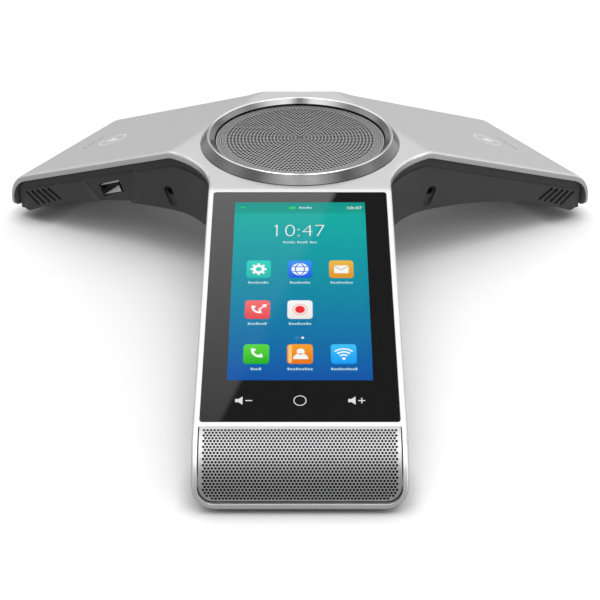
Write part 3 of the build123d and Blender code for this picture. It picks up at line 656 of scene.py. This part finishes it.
def painted_card_reflection(p, low, high):
    """Painted reflection of a card, added as a glow that fades towards the foot of the screen."""
    reflected = p.place("Reflection")
    inside = p.span(p.vector_math("DOT_PRODUCT", reflected, tuple(card_side())), 0.0, CARD_BLEND)
    fade = p.span(on_pane(p, 1), -GLASS_LENGTH * MM, 0.0, low, high)
    front = p.math("SUBTRACT", 1.0, p.node("NewGeometry", {}).outputs["Backfacing"])
    return p.math("MULTIPLY", p.math("MULTIPLY", inside, fade), front)


def on_pane(p, axis):
    """Distance across (0), up (1) or above (2) the glass's outer face, from its top centre."""
    direction = SCREEN.to_3x3().col[axis]
    distance = p.vector_math("DOT_PRODUCT", p.place(), tuple(direction))
    return p.math("SUBTRACT", distance, SCREEN.translation.dot(direction))


def clear_window(p):
    """1 over the lit area, 0 over the black print that borders it and runs down the edges."""
    across = p.math("ABSOLUTE", on_pane(p, 0))
    up = p.math("ABSOLUTE", p.math("ADD", on_pane(p, 1), (WINDOW_TOP + LIT_LENGTH / 2) * MM))
    level = p.math("ABSOLUTE", p.math("ADD", on_pane(p, 2), GLASS_THICK / 2 * MM))
    inside = p.math("LESS_THAN", across, LIT_WIDTH / 2 * MM)
    inside = p.math("MULTIPLY", inside, p.math("LESS_THAN", up, LIT_LENGTH / 2 * MM))
    under = p.math("LESS_THAN", on_pane(p, 2), -GLASS_THICK / 2 * MM)
    face = p.math("GREATER_THAN", level, (GLASS_THICK / 2 - PRINT_DEPTH) * MM)
    return p.math("MULTIPLY", p.math("MAXIMUM", inside, under), face)


def screen_glass():
    """Cover glass, clear over the display and printed black round it. It mirrors the studio, and a
    card's reflection is painted on it as a glow.
    """
    p = Paint("screen_glass")
    window = clear_window(p)
    front = p.math("SUBTRACT", 1.0, p.node("NewGeometry", {}).outputs["Backfacing"])
    share = p.math("MULTIPLY", p.node("Fresnel", {"IOR": GLASS_INDEX}).outputs[0], front)
    share = p.math("MULTIPLY", share, COATED_SHARE)
    smear = p.span(p.noise(60, 4), 0.3, 0.8, 0.02, 0.06)
    gloss = p.node("BsdfGlossy", {"Roughness": smear}).outputs[0]
    clear = p.node("BsdfTransparent", {}).outputs[0]
    black = p.mix(p.noise(300, 3), grey(0.002), grey(0.005))
    ink = p.node("BsdfDiffuse", {"Color": black}).outputs[0]
    pane = p.node("MixShader", {0: window, 1: ink, 2: clear}).outputs[0]
    pane = p.node("MixShader", {0: share, 1: pane, 2: gloss}).outputs[0]
    # Painted reflection: the card is added as emission, stronger on the black print than over the
    # window.
    strength = p.mix(window, painted_card_reflection(p, *CARD_ON_PRINT), painted_card_reflection(p, *CARD_ON_WINDOW))
    glow = p.node("Emission", {"Color": grey(1.0), "Strength": strength}).outputs[0]
    return p.surface(p.node("AddShader", {0: pane, 1: glow}).outputs[0])


def pixel_grid(p):
    """Faint brightness pattern of the display's pixels, one wave to each."""
    scale = 2 * pi / PIXEL_PITCH / WAVE_RATE
    rows = p.wave(scale, direction="Y")
    columns = p.wave(scale, direction="X")
    return p.span(p.math("MULTIPLY", rows, columns), 0.0, 1.0, 0.93, 1.0)


def lit(name, high, low, top=0.0, bottom=-1.0):
    """Self-lit colour that runs from high at top to low at bottom, in screen millimetres."""
    p = Paint(name)
    y = p.split(p.place())[1]
    colour = p.mix(p.span(y, bottom * MM, top * MM), low, high)
    glow = p.node("Emission", {"Color": colour, "Strength": pixel_grid(p)})
    return p.surface(glow.outputs[0])


def display_backing():
    """Unlit rim of the display module."""
    p = Paint("display_backing")
    cells = p.wave(3600, direction="X")
    colour = p.mix(cells, grey(0.01), grey(0.03))
    return p.solid(colour, 0.3, 0.0, p.bump(cells, 0.002))


def sheet_matrix(level):
    """Frame of a sheet under the glass, moved up the slope to where it is seen through it."""
    depth = GLASS_THICK + SHEET_GAP - level * LEVEL_STEP
    return SCREEN @ Matrix.Translation((0, SHEET_LIFT * MM, -depth * MM))


def screen_piece(name, loops, level, material):
    """Thin sheet under the glass; a higher level lies nearer the viewer."""
    mesh = flat_mesh(name, loops, SHEET)
    add_piece(name, mesh, material, sheet_matrix(level))


WORD_GAP = 0.9
LETTER_PITCH = 1.2
LETTER_SHARE = 0.7
LETTER_HIGH = 1.45
LETTER_LOW = 1.05
LETTER_FOOT = 0.55
GEAR_TEETH = 8
TILE = 11.25
TILE_CORNER = 1.7
COLUMN = 18.95
ROWS = (-51.9, -77.0, -103.1)
LABEL_DROP = 8.6
STATUS_Y = -11.0
DATE_Y = -34.5
DOTS_Y = -93.7
CLOCK_BOX = (18.5, 7.6)
CLOCK_PLACE = (2.35, -26.5)
CLOCK_THIN = 0.2
SMALL_CLOCK_BOX = (6.9, 1.9)
SMALL_CLOCK_X = 26.2
TOUCH_Y = -128.4
TOUCH_X = 23.7
GLOBE_RADIUS = 3.9
GLYPH_LINE = 0.5
WHITE = srgb(250, 253, 252)
PALE = srgb(184, 222, 230)
BLUE = srgb(40, 118, 238)
TOUCH_WHITE = srgb(232, 232, 232)

# Each tile has its column, its row, its colours at top and foot, and its label's length.
TILES = {
    "settings": (-1, 0, (44, 216, 200), (28, 190, 176), 9.4),
    "globe": (0, 0, (52, 150, 250), (26, 92, 226), 9.4),
    "message": (1, 0, (244, 190, 74), (226, 150, 34), 10.4),
    "history": (-1, 1, (252, 116, 118), (232, 70, 76), 8.6),
    "recorder": (0, 1, (255, 255, 255), (244, 238, 234), 10.2),
    "call": (-1, 2, (92, 222, 62), (34, 178, 34), 4.8),
    "contacts": (0, 2, (252, 164, 44), (232, 118, 18), 11.2),
    "wireless": (1, 2, (62, 200, 255), (12, 156, 250), 11.6),
}


def bars(x, y, lengths, height, gap=WORD_GAP):
    """Row of blank bars centred on x."""
    total = sum(lengths) + gap * (len(lengths) - 1)
    loops = []
    start = x - total / 2
    for length in lengths:
        loops.append(rounded(length, height, height * 0.45, start + length / 2, y))
        start += length + gap
    return loops


def letters(x, y, lengths):
    """Words as rows of plain blocks, every third one taller, centred on x."""
    total = sum(lengths) + WORD_GAP * (len(lengths) - 1)
    loops = []
    start = x - total / 2
    for length in lengths:
        count = round(length / LETTER_PITCH)
        pitch = length / count
        for i in range(count):
            height = LETTER_HIGH if i % 3 == 0 else LETTER_LOW
            centre = (start + pitch * (i + 0.5), y + height / 2 - LETTER_FOOT)
            loops.append(rounded(pitch * LETTER_SHARE, height, 0.2, *centre))
        start += length + WORD_GAP
    return loops


def gear(x, y, outer, root, hole):
    """Cog outline with flat-topped teeth, and its round hole."""
    loop = []
    for i in range(GEAR_TEETH):
        middle = 2 * pi * i / GEAR_TEETH
        for offset, radius in ((-0.30, root), (-0.20, outer), (0.20, outer), (0.30, root)):
            angle = middle + offset * 2 * pi / GEAR_TEETH
            loop.append((x + radius * cos(angle), y + radius * sin(angle)))
    return [loop, circle(hole, x, y, 24)]


def handset(x, y, size, turn):
    """Telephone handset: a curved grip that swells into two ends."""
    outer = []
    inner = []
    half_sweep = radians(62)
    steps = 24
    back = 1.12
    grip, rise = 0.20, 0.24
    swell_start, swell_run = 0.50, 0.12
    for i in range(steps + 1):
        along = 2 * i / steps - 1
        angle = along * half_sweep
        swell = grip + rise * min(1.0, max(0.0, (abs(along) - swell_start) / swell_run))
        outer.append((cos(angle) * back, sin(angle) * back))
        inner.append((cos(angle) * (1.0 - swell), sin(angle) * (1.0 - swell)))
    loop = [(px - 0.8, py) for px, py in outer + inner[::-1]]
    return moved(loop, x, y, turn, size)


def band(x, y, radius, width, start, finish):
    """Part of a ring between two angles."""
    outside = arc(radius + width / 2, start, finish, x, y)
    inside = arc(radius - width / 2, finish, start, x, y)
    return outside + inside


def speaker_mark(x, y):
    """Small loudspeaker: a box and its horn as one outline."""
    upper = [(x - 0.2, y + 2.2), (x - 1.9, y + 0.85), (x - 3.3, y + 0.85)]
    return [(px, 2 * y - py) for px, py in reversed(upper)] + upper


def plus_mark(x, y, arm, half):
    """Plus sign, with arms of a given reach and half width."""
    corners = [(half, half), (half, arm), (-half, arm), (-half, half), (-arm, half), (-arm, -half),
               (-half, -half), (-half, -arm), (half, -arm), (half, -half), (arm, -half), (arm, half)]
    return [(x + px, y + py) for px, py in corners]


def parallels(x, y):
    """Two lines of latitude of a plain globe."""
    loops = []
    for height in (-1.5, 1.5):
        half = sqrt(GLOBE_RADIUS ** 2 - height ** 2)
        loops.append(rounded(2 * half - 0.2, GLYPH_LINE, 0.2, x, y + height))
    return loops


def meridians(x, y):
    """Two curved lines of longitude of a plain globe."""
    loops = []
    for side in (-1, 1):
        start = 0 if side > 0 else pi
        sweep = (start - radians(54), start + radians(54))
        loops.append(band(x - side * 2.4, y, 4.5, GLYPH_LINE, *sweep))
    return loops


def flap_line(x, y):
    """Folded line across an envelope."""
    half, top, drop, width = 3.1, 2.2, 2.4, 0.448
    upper = [(-half, top), (0, top - drop), (half, top)]
    lower = [(px, py - width) for px, py in reversed(upper)]
    return [(x + px, y + py) for px, py in upper + lower]


def white_glyphs():
    """Outlines of every white mark on the tiles, with the first digit of the clock."""
    top, middle, low = ROWS
    settings = gear(-COLUMN, top, 3.7, 2.75, 1.35)
    globe = circle(GLOBE_RADIUS, 0, top)
    envelope = rounded(6.6, 4.9, 0.5, COLUMN, top - 0.1)
    arrow = [(0, 0), (2.4, 2.0), (1.6, 2.6), (3.9, 3.2), (3.5, 0.9), (2.9, 1.5), (0.5, -0.6)]
    past_call = [handset(-COLUMN - 0.9, middle - 0.4, 3.3, radians(225)),
                 moved(arrow, -COLUMN + 0.2, middle + 0.2)]
    call = handset(-COLUMN - 0.3, low + 0.1, 3.7, radians(225))
    person = [circle(1.75, 0.3, low + 1.35, 32), arc(3.3, 0, pi, 0.3, low - 2.9, 20)]
    glyphs = settings + [globe, envelope] + past_call + [call] + person
    glyphs.append(circle(0.75, COLUMN, low - 2.6, 20))
    for radius in (2.4, 4.1, 5.8):
        glyphs.append(band(COLUMN, low - 2.9, radius, 0.75, radians(48), radians(132)))
    glyphs.append(circle(0.62, 1.2, DOTS_Y, 20))
    digit_one = [(-10.62, 3.8), (-11.0, 3.8), (-12.1, 2.8), (-11.9, 2.4), (-11.12, 3.0),
                 (-11.12, -3.8), (-10.62, -3.8)]
    glyphs.append(moved(digit_one, 0, CLOCK_PLACE[1]))
    return glyphs


def build_backdrop():
    """The lit picture and the bar along its top."""
    middle = -(LIT_TOP + LIT_LENGTH / 2)
    foot = -LIT_TOP - LIT_LENGTH
    backdrop = lit("screen_backdrop", srgb(8, 180, 166), srgb(8, 84, 172), -LIT_TOP, foot)
    loop = rounded(LIT_WIDTH + 2.0, LIT_LENGTH + 3.0, 0.2, 0, middle)
    screen_piece("screen_backdrop", [loop], 0, backdrop)
    status = lit("screen_status_bar", srgb(6, 152, 142), srgb(8, 160, 148), -LIT_TOP, -LIT_TOP - 7.5)
    loop = rounded(LIT_WIDTH + 1.9, 9.0, 0.1, 0, -LIT_TOP - 3.0)
    screen_piece("screen_status_bar", [loop], 1, status)


def build_tiles():
    """Eight round-cornered tiles, and a row of plain blocks under each."""
    labels = []
    for name, (column, row, high, low, length) in TILES.items():
        x = column * COLUMN
        y = ROWS[row]
        colour = lit("screen_tile_" + name, srgb(*high), srgb(*low), y + TILE / 2, y - TILE / 2)
        screen_piece("screen_tile_" + name, [rounded(TILE, TILE, TILE_CORNER, x, y)], 2, colour)
        labels += letters(x, y - LABEL_DROP, (length,))
    labels += letters(0, DATE_Y, (5.6, 5.0, 3.4))
    labels += letters(2.6, STATUS_Y, (6.2,))
    screen_piece("screen_labels", labels, 3, lit("screen_labels", PALE, PALE))


def build_glyphs():
    """White marks and clocks, then the coloured details that lie over them."""
    white = lit("screen_white", WHITE, WHITE)
    screen_piece("screen_glyphs", white_glyphs(), 3, white)
    clock = digits_mesh("screen_clock", "0:47", *CLOCK_BOX, CLOCK_PLACE, SHEET, CLOCK_THIN)
    add_piece("screen_clock", clock, white, sheet_matrix(3))
    place = (SMALL_CLOCK_X, STATUS_Y)
    small = digits_mesh("screen_small_clock", "10:47", *SMALL_CLOCK_BOX, place, SHEET, 0.0)
    add_piece("screen_small_clock", small, white, sheet_matrix(3))

    top, middle, low = ROWS
    green = bars(-3.6, STATUS_Y, (3.2,), 1.3) + bars(-27.3, STATUS_Y + 0.4, (1.8,), 0.9)
    book_edge = rounded(1.5, TILE - 1.2, 0.5, -TILE / 2 + 1.35, low)
    ink = {
        "screen_parallels": (parallels(0, top), BLUE),
        "screen_ink_amber": ([flap_line(COLUMN, top - 0.1)], srgb(214, 142, 34)),
        "screen_ink_red": ([circle(2.2, 0, middle)], srgb(240, 46, 52)),
        "screen_ink_ring": ([circle(3.5, 0, middle), circle(2.6, 0, middle)], srgb(250, 214, 206)),
        "screen_ink_green": (green, srgb(40, 226, 92)),
        "screen_ink_pale": ([circle(0.62, -1.4, DOTS_Y, 20)], srgb(88, 158, 208)),
        "screen_ink_edge": ([book_edge], srgb(255, 206, 130)),
    }
    for name, (loops, colour) in ink.items():
        screen_piece(name, loops, 4, lit(name, colour, colour))
    screen_piece("screen_meridians", meridians(0, top), 5, lit("screen_meridians", BLUE, BLUE))


def build_touch_marks():
    """Ring in the middle, and a loudspeaker with a minus and one with a plus beside it."""
    marks = [circle(2.75, 0, TOUCH_Y), circle(2.35, 0, TOUCH_Y)]
    for side in (-1, 1):
        marks.append(speaker_mark(side * TOUCH_X - 0.2, TOUCH_Y))
    marks.append(rounded(2.9, GLYPH_LINE, 0.05, -TOUCH_X + 2.2, TOUCH_Y))
    marks.append(plus_mark(TOUCH_X + 2.2, TOUCH_Y, 1.45, GLYPH_LINE / 2))
    mesh = flat_mesh("screen_touch_marks", marks, SHEET)
    above = SCREEN @ Matrix.Translation((0, 0, SHEET))
    material = lit("touch_white", TOUCH_WHITE, TOUCH_WHITE)
    add_piece("screen_touch_marks", mesh, material, above)


# ---------------------------------------------------------------- perforated metal
SHEET_METAL = 0.3
DISC_THICK = 0.6
DISC_GAP = 0.02
DISC_PITCH = 1.79
DISC_HOLE = 0.74
DISC_RINGS = 21
FINE_PITCH = 0.88
FINE_HOLE = 0.30
FINE_START = 39.0
FINE_RINGS = 5
HEX = 6
DISC_SIDES = 240
DISC_HOLE_SIDES = 12
FINE_HOLE_SIDES = 8


def disc_holes():
    """Concentric rings of holes, six more in each ring, then a zone of much finer ones."""
    holes = [(0.0, 0.0, DISC_HOLE, DISC_HOLE_SIDES)]
    for ring in range(1, DISC_RINGS + 1):
        radius = DISC_PITCH * ring
        for i in range(HEX * ring):
            angle = 2 * pi * i / (HEX * ring)
            holes.append((radius * cos(angle), radius * sin(angle), DISC_HOLE, DISC_HOLE_SIDES))
    for ring in range(FINE_RINGS):
        radius = FINE_START + ring * FINE_PITCH
        count = round(2 * pi * radius / FINE_PITCH)
        for i in range(count):
            angle = 2 * pi * (i + 0.5 * (ring % 2)) / count
            holes.append((radius * cos(angle), radius * sin(angle), FINE_HOLE, FINE_HOLE_SIDES))
    return holes


def build_disc():
    """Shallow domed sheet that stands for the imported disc, with its holes cut through."""
    low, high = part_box("speaker_mesh")
    centre = (low + high) / 2
    radius = (high.x - low.x) / 2 / MM
    crown = (high.z - low.z) / MM - DISC_THICK
    ball = (radius ** 2 + crown ** 2) / (2 * crown)

    def surface(x, y, depth):
        drop = ball - sqrt(ball ** 2 - x ** 2 - y ** 2)
        return (centre.x + x * MM, centre.y + y * MM, high.z - (drop + depth) * MM)

    outline = circle(radius - DISC_GAP, sides=DISC_SIDES)
    mesh = perforated_mesh("speaker_disc", outline, disc_holes(), surface, SHEET_METAL)
    piece = add_piece("speaker_disc", mesh, MATERIALS["mesh_metal"])
    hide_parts("speaker_mesh")


GRILLE_RADIUS = 28.0
GRILLE_THICK = 0.8
GRILLE_CORNER = 6.4
GRILLE_PITCH = 1.463
GRILLE_ROW = 1.267
GRILLE_HOLE = 0.58
GRILLE_INSET = 0.35
GRILLE_COLUMNS = 55
GRILLE_ROWS = 24
GRILLE_TOP_MARGIN = 1.6
GRILLE_EDGE = 0.95
GRILLE_STEP = 1.3
GRILLE_HOLE_SIDES = 10


def build_grille():
    """Sheet wrapped round the nose, with staggered rows of holes."""
    low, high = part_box("nose_grille")
    slope = acos((SCREEN.to_3x3() @ Vector((0, 0, 1))).z)
    centre_z = high.z - GRILLE_RADIUS * cos(slope) * MM
    centre_y = low.y + GRILLE_RADIUS * MM
    half = (high.x - low.x) / 2 / MM
    bottom = (low.z - centre_z) / MM
    last = acos(bottom / (GRILLE_RADIUS - GRILLE_THICK))
    length = GRILLE_RADIUS * (last - slope)

    def surface(x, y, depth):
        angle = slope - y / GRILLE_RADIUS
        radius = (GRILLE_RADIUS - depth) * MM
        return (x * MM, centre_y - radius * sin(angle), centre_z + radius * cos(angle))

    def flat_y(height):
        """Distance down the wrapped sheet to a height above the nose's centre."""
        return -GRILLE_RADIUS * (acos(height / GRILLE_RADIUS) - slope)

    outline = [(-half, 0.0), (-half, -length / 3)]
    edge = bottom + GRILLE_INSET
    corner = arc(GRILLE_CORNER, pi, 1.5 * pi, -half + GRILLE_CORNER, edge + GRILLE_CORNER, 14)
    outline += [(x, flat_y(z)) for x, z in corner]
    outline += [(-x, y) for x, y in reversed(outline)]
    dense = []
    for i, (x, y) in enumerate(outline):
        last_x, last_y = outline[i - 1]
        steps = max(1, int(sqrt((x - last_x) ** 2 + (y - last_y) ** 2) / GRILLE_STEP))
        for k in range(1, steps + 1):
            dense.append((last_x + (x - last_x) * k / steps, last_y + (y - last_y) * k / steps))

    holes = []
    for row in range(GRILLE_ROWS):
        y = -GRILLE_TOP_MARGIN - row * GRILLE_ROW
        count = GRILLE_COLUMNS - row % 2
        for column in range(count):
            x = (column - (count - 1) / 2) * GRILLE_PITCH
            if min(sqrt((x - px) ** 2 + (y - py) ** 2) for px, py in dense) > GRILLE_EDGE:
                holes.append((x, y, GRILLE_HOLE, GRILLE_HOLE_SIDES))
    mesh = perforated_mesh("nose_sheet", dense, holes, surface, SHEET_METAL)
    piece = add_piece("nose_sheet", mesh, MATERIALS["grille_metal"])
    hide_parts("nose_grille")


# ---------------------------------------------------------------- printed marks on the rear arms
MARK_DISTANCE = 121.5
MARK_OFFSET = 1.5
MARK_RADIUS = 8.0
MARK_LINE = 0.5
PRINT_THICK = 0.02 * MM
LABEL_GAP = 15.5
LABEL_BARS = (4.6, 2.6, 5.4, 4.0)
LABEL_HEIGHT = 1.0
LABEL_SPACE = 0.8
LEFT_ARM = radians(150)
RIGHT_ARM = radians(30)


def arm_matrix(angle):
    """Frame on a rear arm's flat top: x outwards along the arm, y across it, 0 at the hub."""
    heading = Vector((cos(angle), sin(angle), 0))
    cover = NODES["top_cover"].data
    flats = []
    for p in cover.polygons:
        level = Vector((p.normal.x, p.normal.y, 0))
        if 0.8 < p.normal.z < 0.98 and level.normalized().dot(heading) > 0.999:
            flats.append(p)
    flat = max(flats, key=lambda p: p.area)
    normal = flat.normal.normalized()
    across = normal.cross(heading).normalized()
    along = across.cross(normal)
    ring_low, ring_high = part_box("speaker_ring")
    axis = (ring_low + ring_high) / 2
    height = (cover.vertices[flat.vertices[0]].co - axis).dot(normal) / normal.z
    origin = Vector((axis.x, axis.y, axis.z + height))
    return Matrix.Translation(origin) @ Matrix((along, across, normal)).transposed().to_4x4(), normal


def mark_print():
    """Pale print on the cover, slightly worn."""
    p = Paint("mark_print")
    colour = p.mix(p.noise(500, 3), grey(0.80), grey(0.95))
    return p.solid(colour, 0.5, 0.0, p.bump(p.noise(3000, 2), 0.004))


def label_print():
    """Darker grey print of the small marks beside the touch keys."""
    p = Paint("label_print")
    colour = p.mix(p.noise(500, 3), grey(0.16), grey(0.24))
    return p.solid(colour, 0.5, 0.0, p.bump(p.noise(3000, 2), 0.004))


def build_arm_marks():
    """A ringed microphone at each rear arm's touch key, with blank bars for its label."""
    light = mark_print()
    dark = label_print()
    for name, angle, front in (("left", LEFT_ARM, 1), ("right", RIGHT_ARM, -1)):
        matrix, normal = arm_matrix(angle)
        x = MARK_DISTANCE / normal.z
        y = MARK_OFFSET * front
        ring = [circle(MARK_RADIUS, x, y, 72), circle(MARK_RADIUS - MARK_LINE, x, y, 72)]
        capsule = rounded(5.2, 2.8, 1.39, x - 0.6, y)
        cradle = band(x - 0.2, y, 3.1, MARK_LINE, radians(-80), radians(80))
        stem = rounded(1.6, MARK_LINE, 0.1, x + 3.7, y)
        lifted = matrix @ Matrix.Translation((0, 0, PRINT_THICK / 2))
        mesh = flat_mesh(name + "_mute_mark", ring + [capsule, cradle, stem], PRINT_THICK)
        add_piece(name + "_mute_mark", mesh, light, lifted)
        row = bars(0, 0, LABEL_BARS, LABEL_HEIGHT, LABEL_SPACE)
        label = [moved(loop, x + LABEL_GAP, y, pi / 2) for loop in row]
        mesh = flat_mesh(name + "_key_label", label, PRINT_THICK)
        add_piece(name + "_key_label", mesh, dark, lifted)


# ---------------------------------------------------------------- finishes of the carried-over parts
MATERIALS = {
    "silver_cover": silver_cover(),
    "dark_housing": dark_housing(),
    "foot_rubber": foot_rubber(),
    "ring_metal": ring_metal(*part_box("speaker_ring")),
    "mesh_metal": mesh_metal(),
    "black_cloth": black_cloth(),
    "grille_metal": grille_metal(),
    "screen_glass": screen_glass(),
    "lit_display": display_backing(),
    "sheet_steel": brushed("sheet_steel", grey(0.48), grey(0.62), 0.34),
    "circuit_board": circuit_board(),
    "flex_film": flex_film(),
    "connector_metal": brushed("connector_metal", grey(0.60), grey(0.78), 0.22),
    "black_plastic": moulded("black_plastic", grey(0.012), grey(0.024), 0.4),
    "magnet_ferrite": magnet_ferrite(),
    "coil_copper": coil_copper(),
    "cone_paper": cone_paper(),
    "surround_rubber": surround_rubber(),
    "spider_fabric": spider_fabric(),
    "lead_jacket": moulded("lead_jacket", srgb(150, 12, 14), srgb(190, 24, 22), 0.38),
    "screw_steel": brushed("screw_steel", grey(0.10), grey(0.20), 0.3),
}

SPECIAL = {"usb_port": port_metal()}


def dress_parts():
    """Give every carried-over part the finish that its material slot names."""
    for name, node in NODES.items():
        slot = node.data.materials[0].name.split(".")[0]
        node.data.materials[0] = SPECIAL.get(name, MATERIALS[slot])


# ---------------------------------------------------------------- studio
FLOOR_SIZE = 6.0
FLOOR_DROP = 0.02 * MM
FLOOR_MIRRORED = 0.30
# Reach and darkness of the painted contact shadow on the paper.
CONTACT_REACH = 12.0
CONTACT_DARK = 0.10
FLOOR_FILL = 0.03


def build_floor():
    """Pale paper under the phone: bright to the camera, darker in reflections, with a painted
    contact shadow close by.
    """
    side = FLOOR_SIZE / 2
    z = CAD_LOW.z - FLOOR_DROP
    corners = [(-side, -side, z), (side, -side, z), (side, side, z), (-side, side, z)]
    mesh = bpy.data.meshes.new("floor")
    mesh.from_pydata(corners, [], [(0, 1, 2, 3)])
    floor = bpy.data.objects.new("floor", mesh)
    bpy.context.scene.collection.objects.link(floor)
    p = Paint("floor_paper")
    seen = p.node("LightPath", {}).outputs["Is Camera Ray"]
    paper = p.mix(p.noise(40, 3), grey(0.87), grey(0.89))
    # Painted contact shadow: the paper is darkened where other surfaces lie within reach.
    painted_shadow_mask = p.node("AmbientOcclusion", {"Distance": CONTACT_REACH * MM}, samples=8).outputs["AO"]
    paper = p.mix(painted_shadow_mask, grey(CONTACT_DARK), paper)
    colour = p.mix(seen, grey(FLOOR_MIRRORED), paper)
    fill = p.math("MULTIPLY", seen, FLOOR_FILL)
    tooth = p.bump(p.noise(700, 2), 0.02)
    mesh.materials.append(p.solid(colour, 0.8, 0.0, tooth, Specular_IOR_Level=0.0,
                                  Emission_Color=paper, Emission_Strength=fill))


REAR_LEVELS = [(0.0, 0.46), (0.15, 0.52), (0.28, 0.48), (0.40, 0.40), (0.48, 0.56),
               (0.56, 1.30), (0.88, 1.22), (1.0, 1.5)]
FRONT_LEVELS = [(0.0, 0.28), (0.30, 0.40), (0.60, 0.50), (1.0, 1.0)]
PANEL_LEVELS = [(0.0, 1.0), (0.20, 0.9), (0.45, 0.6), (0.62, 0.20), (1.0, 0.14)]
PANEL_GAIN = 1.7
STRIP_LEVELS = [(0.0, 0.10), (0.05, 0.16), (0.16, 1.0), (0.40, 0.8), (0.60, 0.3), (1.0, 0.2)]
STRIP_GAIN = 4.2
FLANK_RIGHT = 0.5
FLANK_LEFT = 0.3
FLANK_LEVEL = 2.0


def build_world():
    """Studio surroundings: white to the camera, shaded by height and side for the rest.

    Levels are (position, grey) pairs, read along the height of a direction or its distance to
    the side, both from 0 to 1.
    """
    world = bpy.data.worlds.new("studio")
    bpy.context.scene.world = world
    world.use_nodes = True
    g = Graph(world.node_tree)
    x, y, z = g.split(g.place("Generated"))
    rear = g.stops(z, REAR_LEVELS)
    front = g.stops(z, FRONT_LEVELS)
    side = g.math("ABSOLUTE", x)
    panels = g.math("MULTIPLY", g.stops(side, PANEL_LEVELS), PANEL_GAIN)
    strips = g.math("MULTIPLY", g.stops(side, STRIP_LEVELS), STRIP_GAIN)
    panels = g.mix(g.span(z, 0.82, 0.87), panels, strips)
    front = g.mix(g.span(z, 0.62, 0.72), front, panels)
    level = g.mix(g.span(y, -0.25, 0.25), front, rear)
    right = g.span(x, 0.1, 0.7, 0.0, FLANK_RIGHT)
    left = g.span(x, -0.7, -0.1, FLANK_LEFT, 0.0)
    low = g.span(z, 0.0, 0.6, 1.0, 0.0)
    flank = g.math("MULTIPLY", g.math("MAXIMUM", right, left), low)
    level = g.mix(flank, level, grey(FLANK_LEVEL))
    surroundings = g.node("Background", {"Color": level, "Strength": 1.0}).outputs[0]
    white = g.node("Background", {"Color": grey(1.0), "Strength": 1.0}).outputs[0]
    seen = g.node("LightPath", {}).outputs["Is Camera Ray"]
    shown = g.node("MixShader", {0: seen, 1: surroundings, 2: white}).outputs[0]
    output = g.node("OutputWorld", {})
    g.put(output.inputs["Surface"], shown)


SOFTBOX_PLACE = (1.0, -0.7, 0.55)
SOFTBOX_SIZE = (0.7, 0.9)
SOFTBOX_POWER = 2.0


def add_softbox(name, place, target, size, power):
    """Large soft area light aimed at a point."""
    data = bpy.data.lights.new(name, "AREA")
    data.shape = "RECTANGLE"
    data.size, data.size_y = size
    data.energy = power
    light = bpy.data.objects.new(name, data)
    light.location = place
    light.rotation_euler = (target - Vector(place)).to_track_quat("-Z", "Y").to_euler()
    bpy.context.scene.collection.objects.link(light)


def build_lights():
    """One weak softbox at the right front. The surroundings give the rest of the light."""
    target = (CAD_LOW + CAD_HIGH) / 2
    add_softbox("right_front", SOFTBOX_PLACE, target, SOFTBOX_SIZE, SOFTBOX_POWER)
    scene = bpy.context.scene
    scene.view_settings.view_transform = "Standard"
    scene.view_settings.look = "None"


add_camera()
dress_parts()
build_disc()
build_grille()
build_backdrop()
build_tiles()
build_glyphs()
build_touch_marks()
build_arm_marks()
build_floor()
build_world()
build_lights()
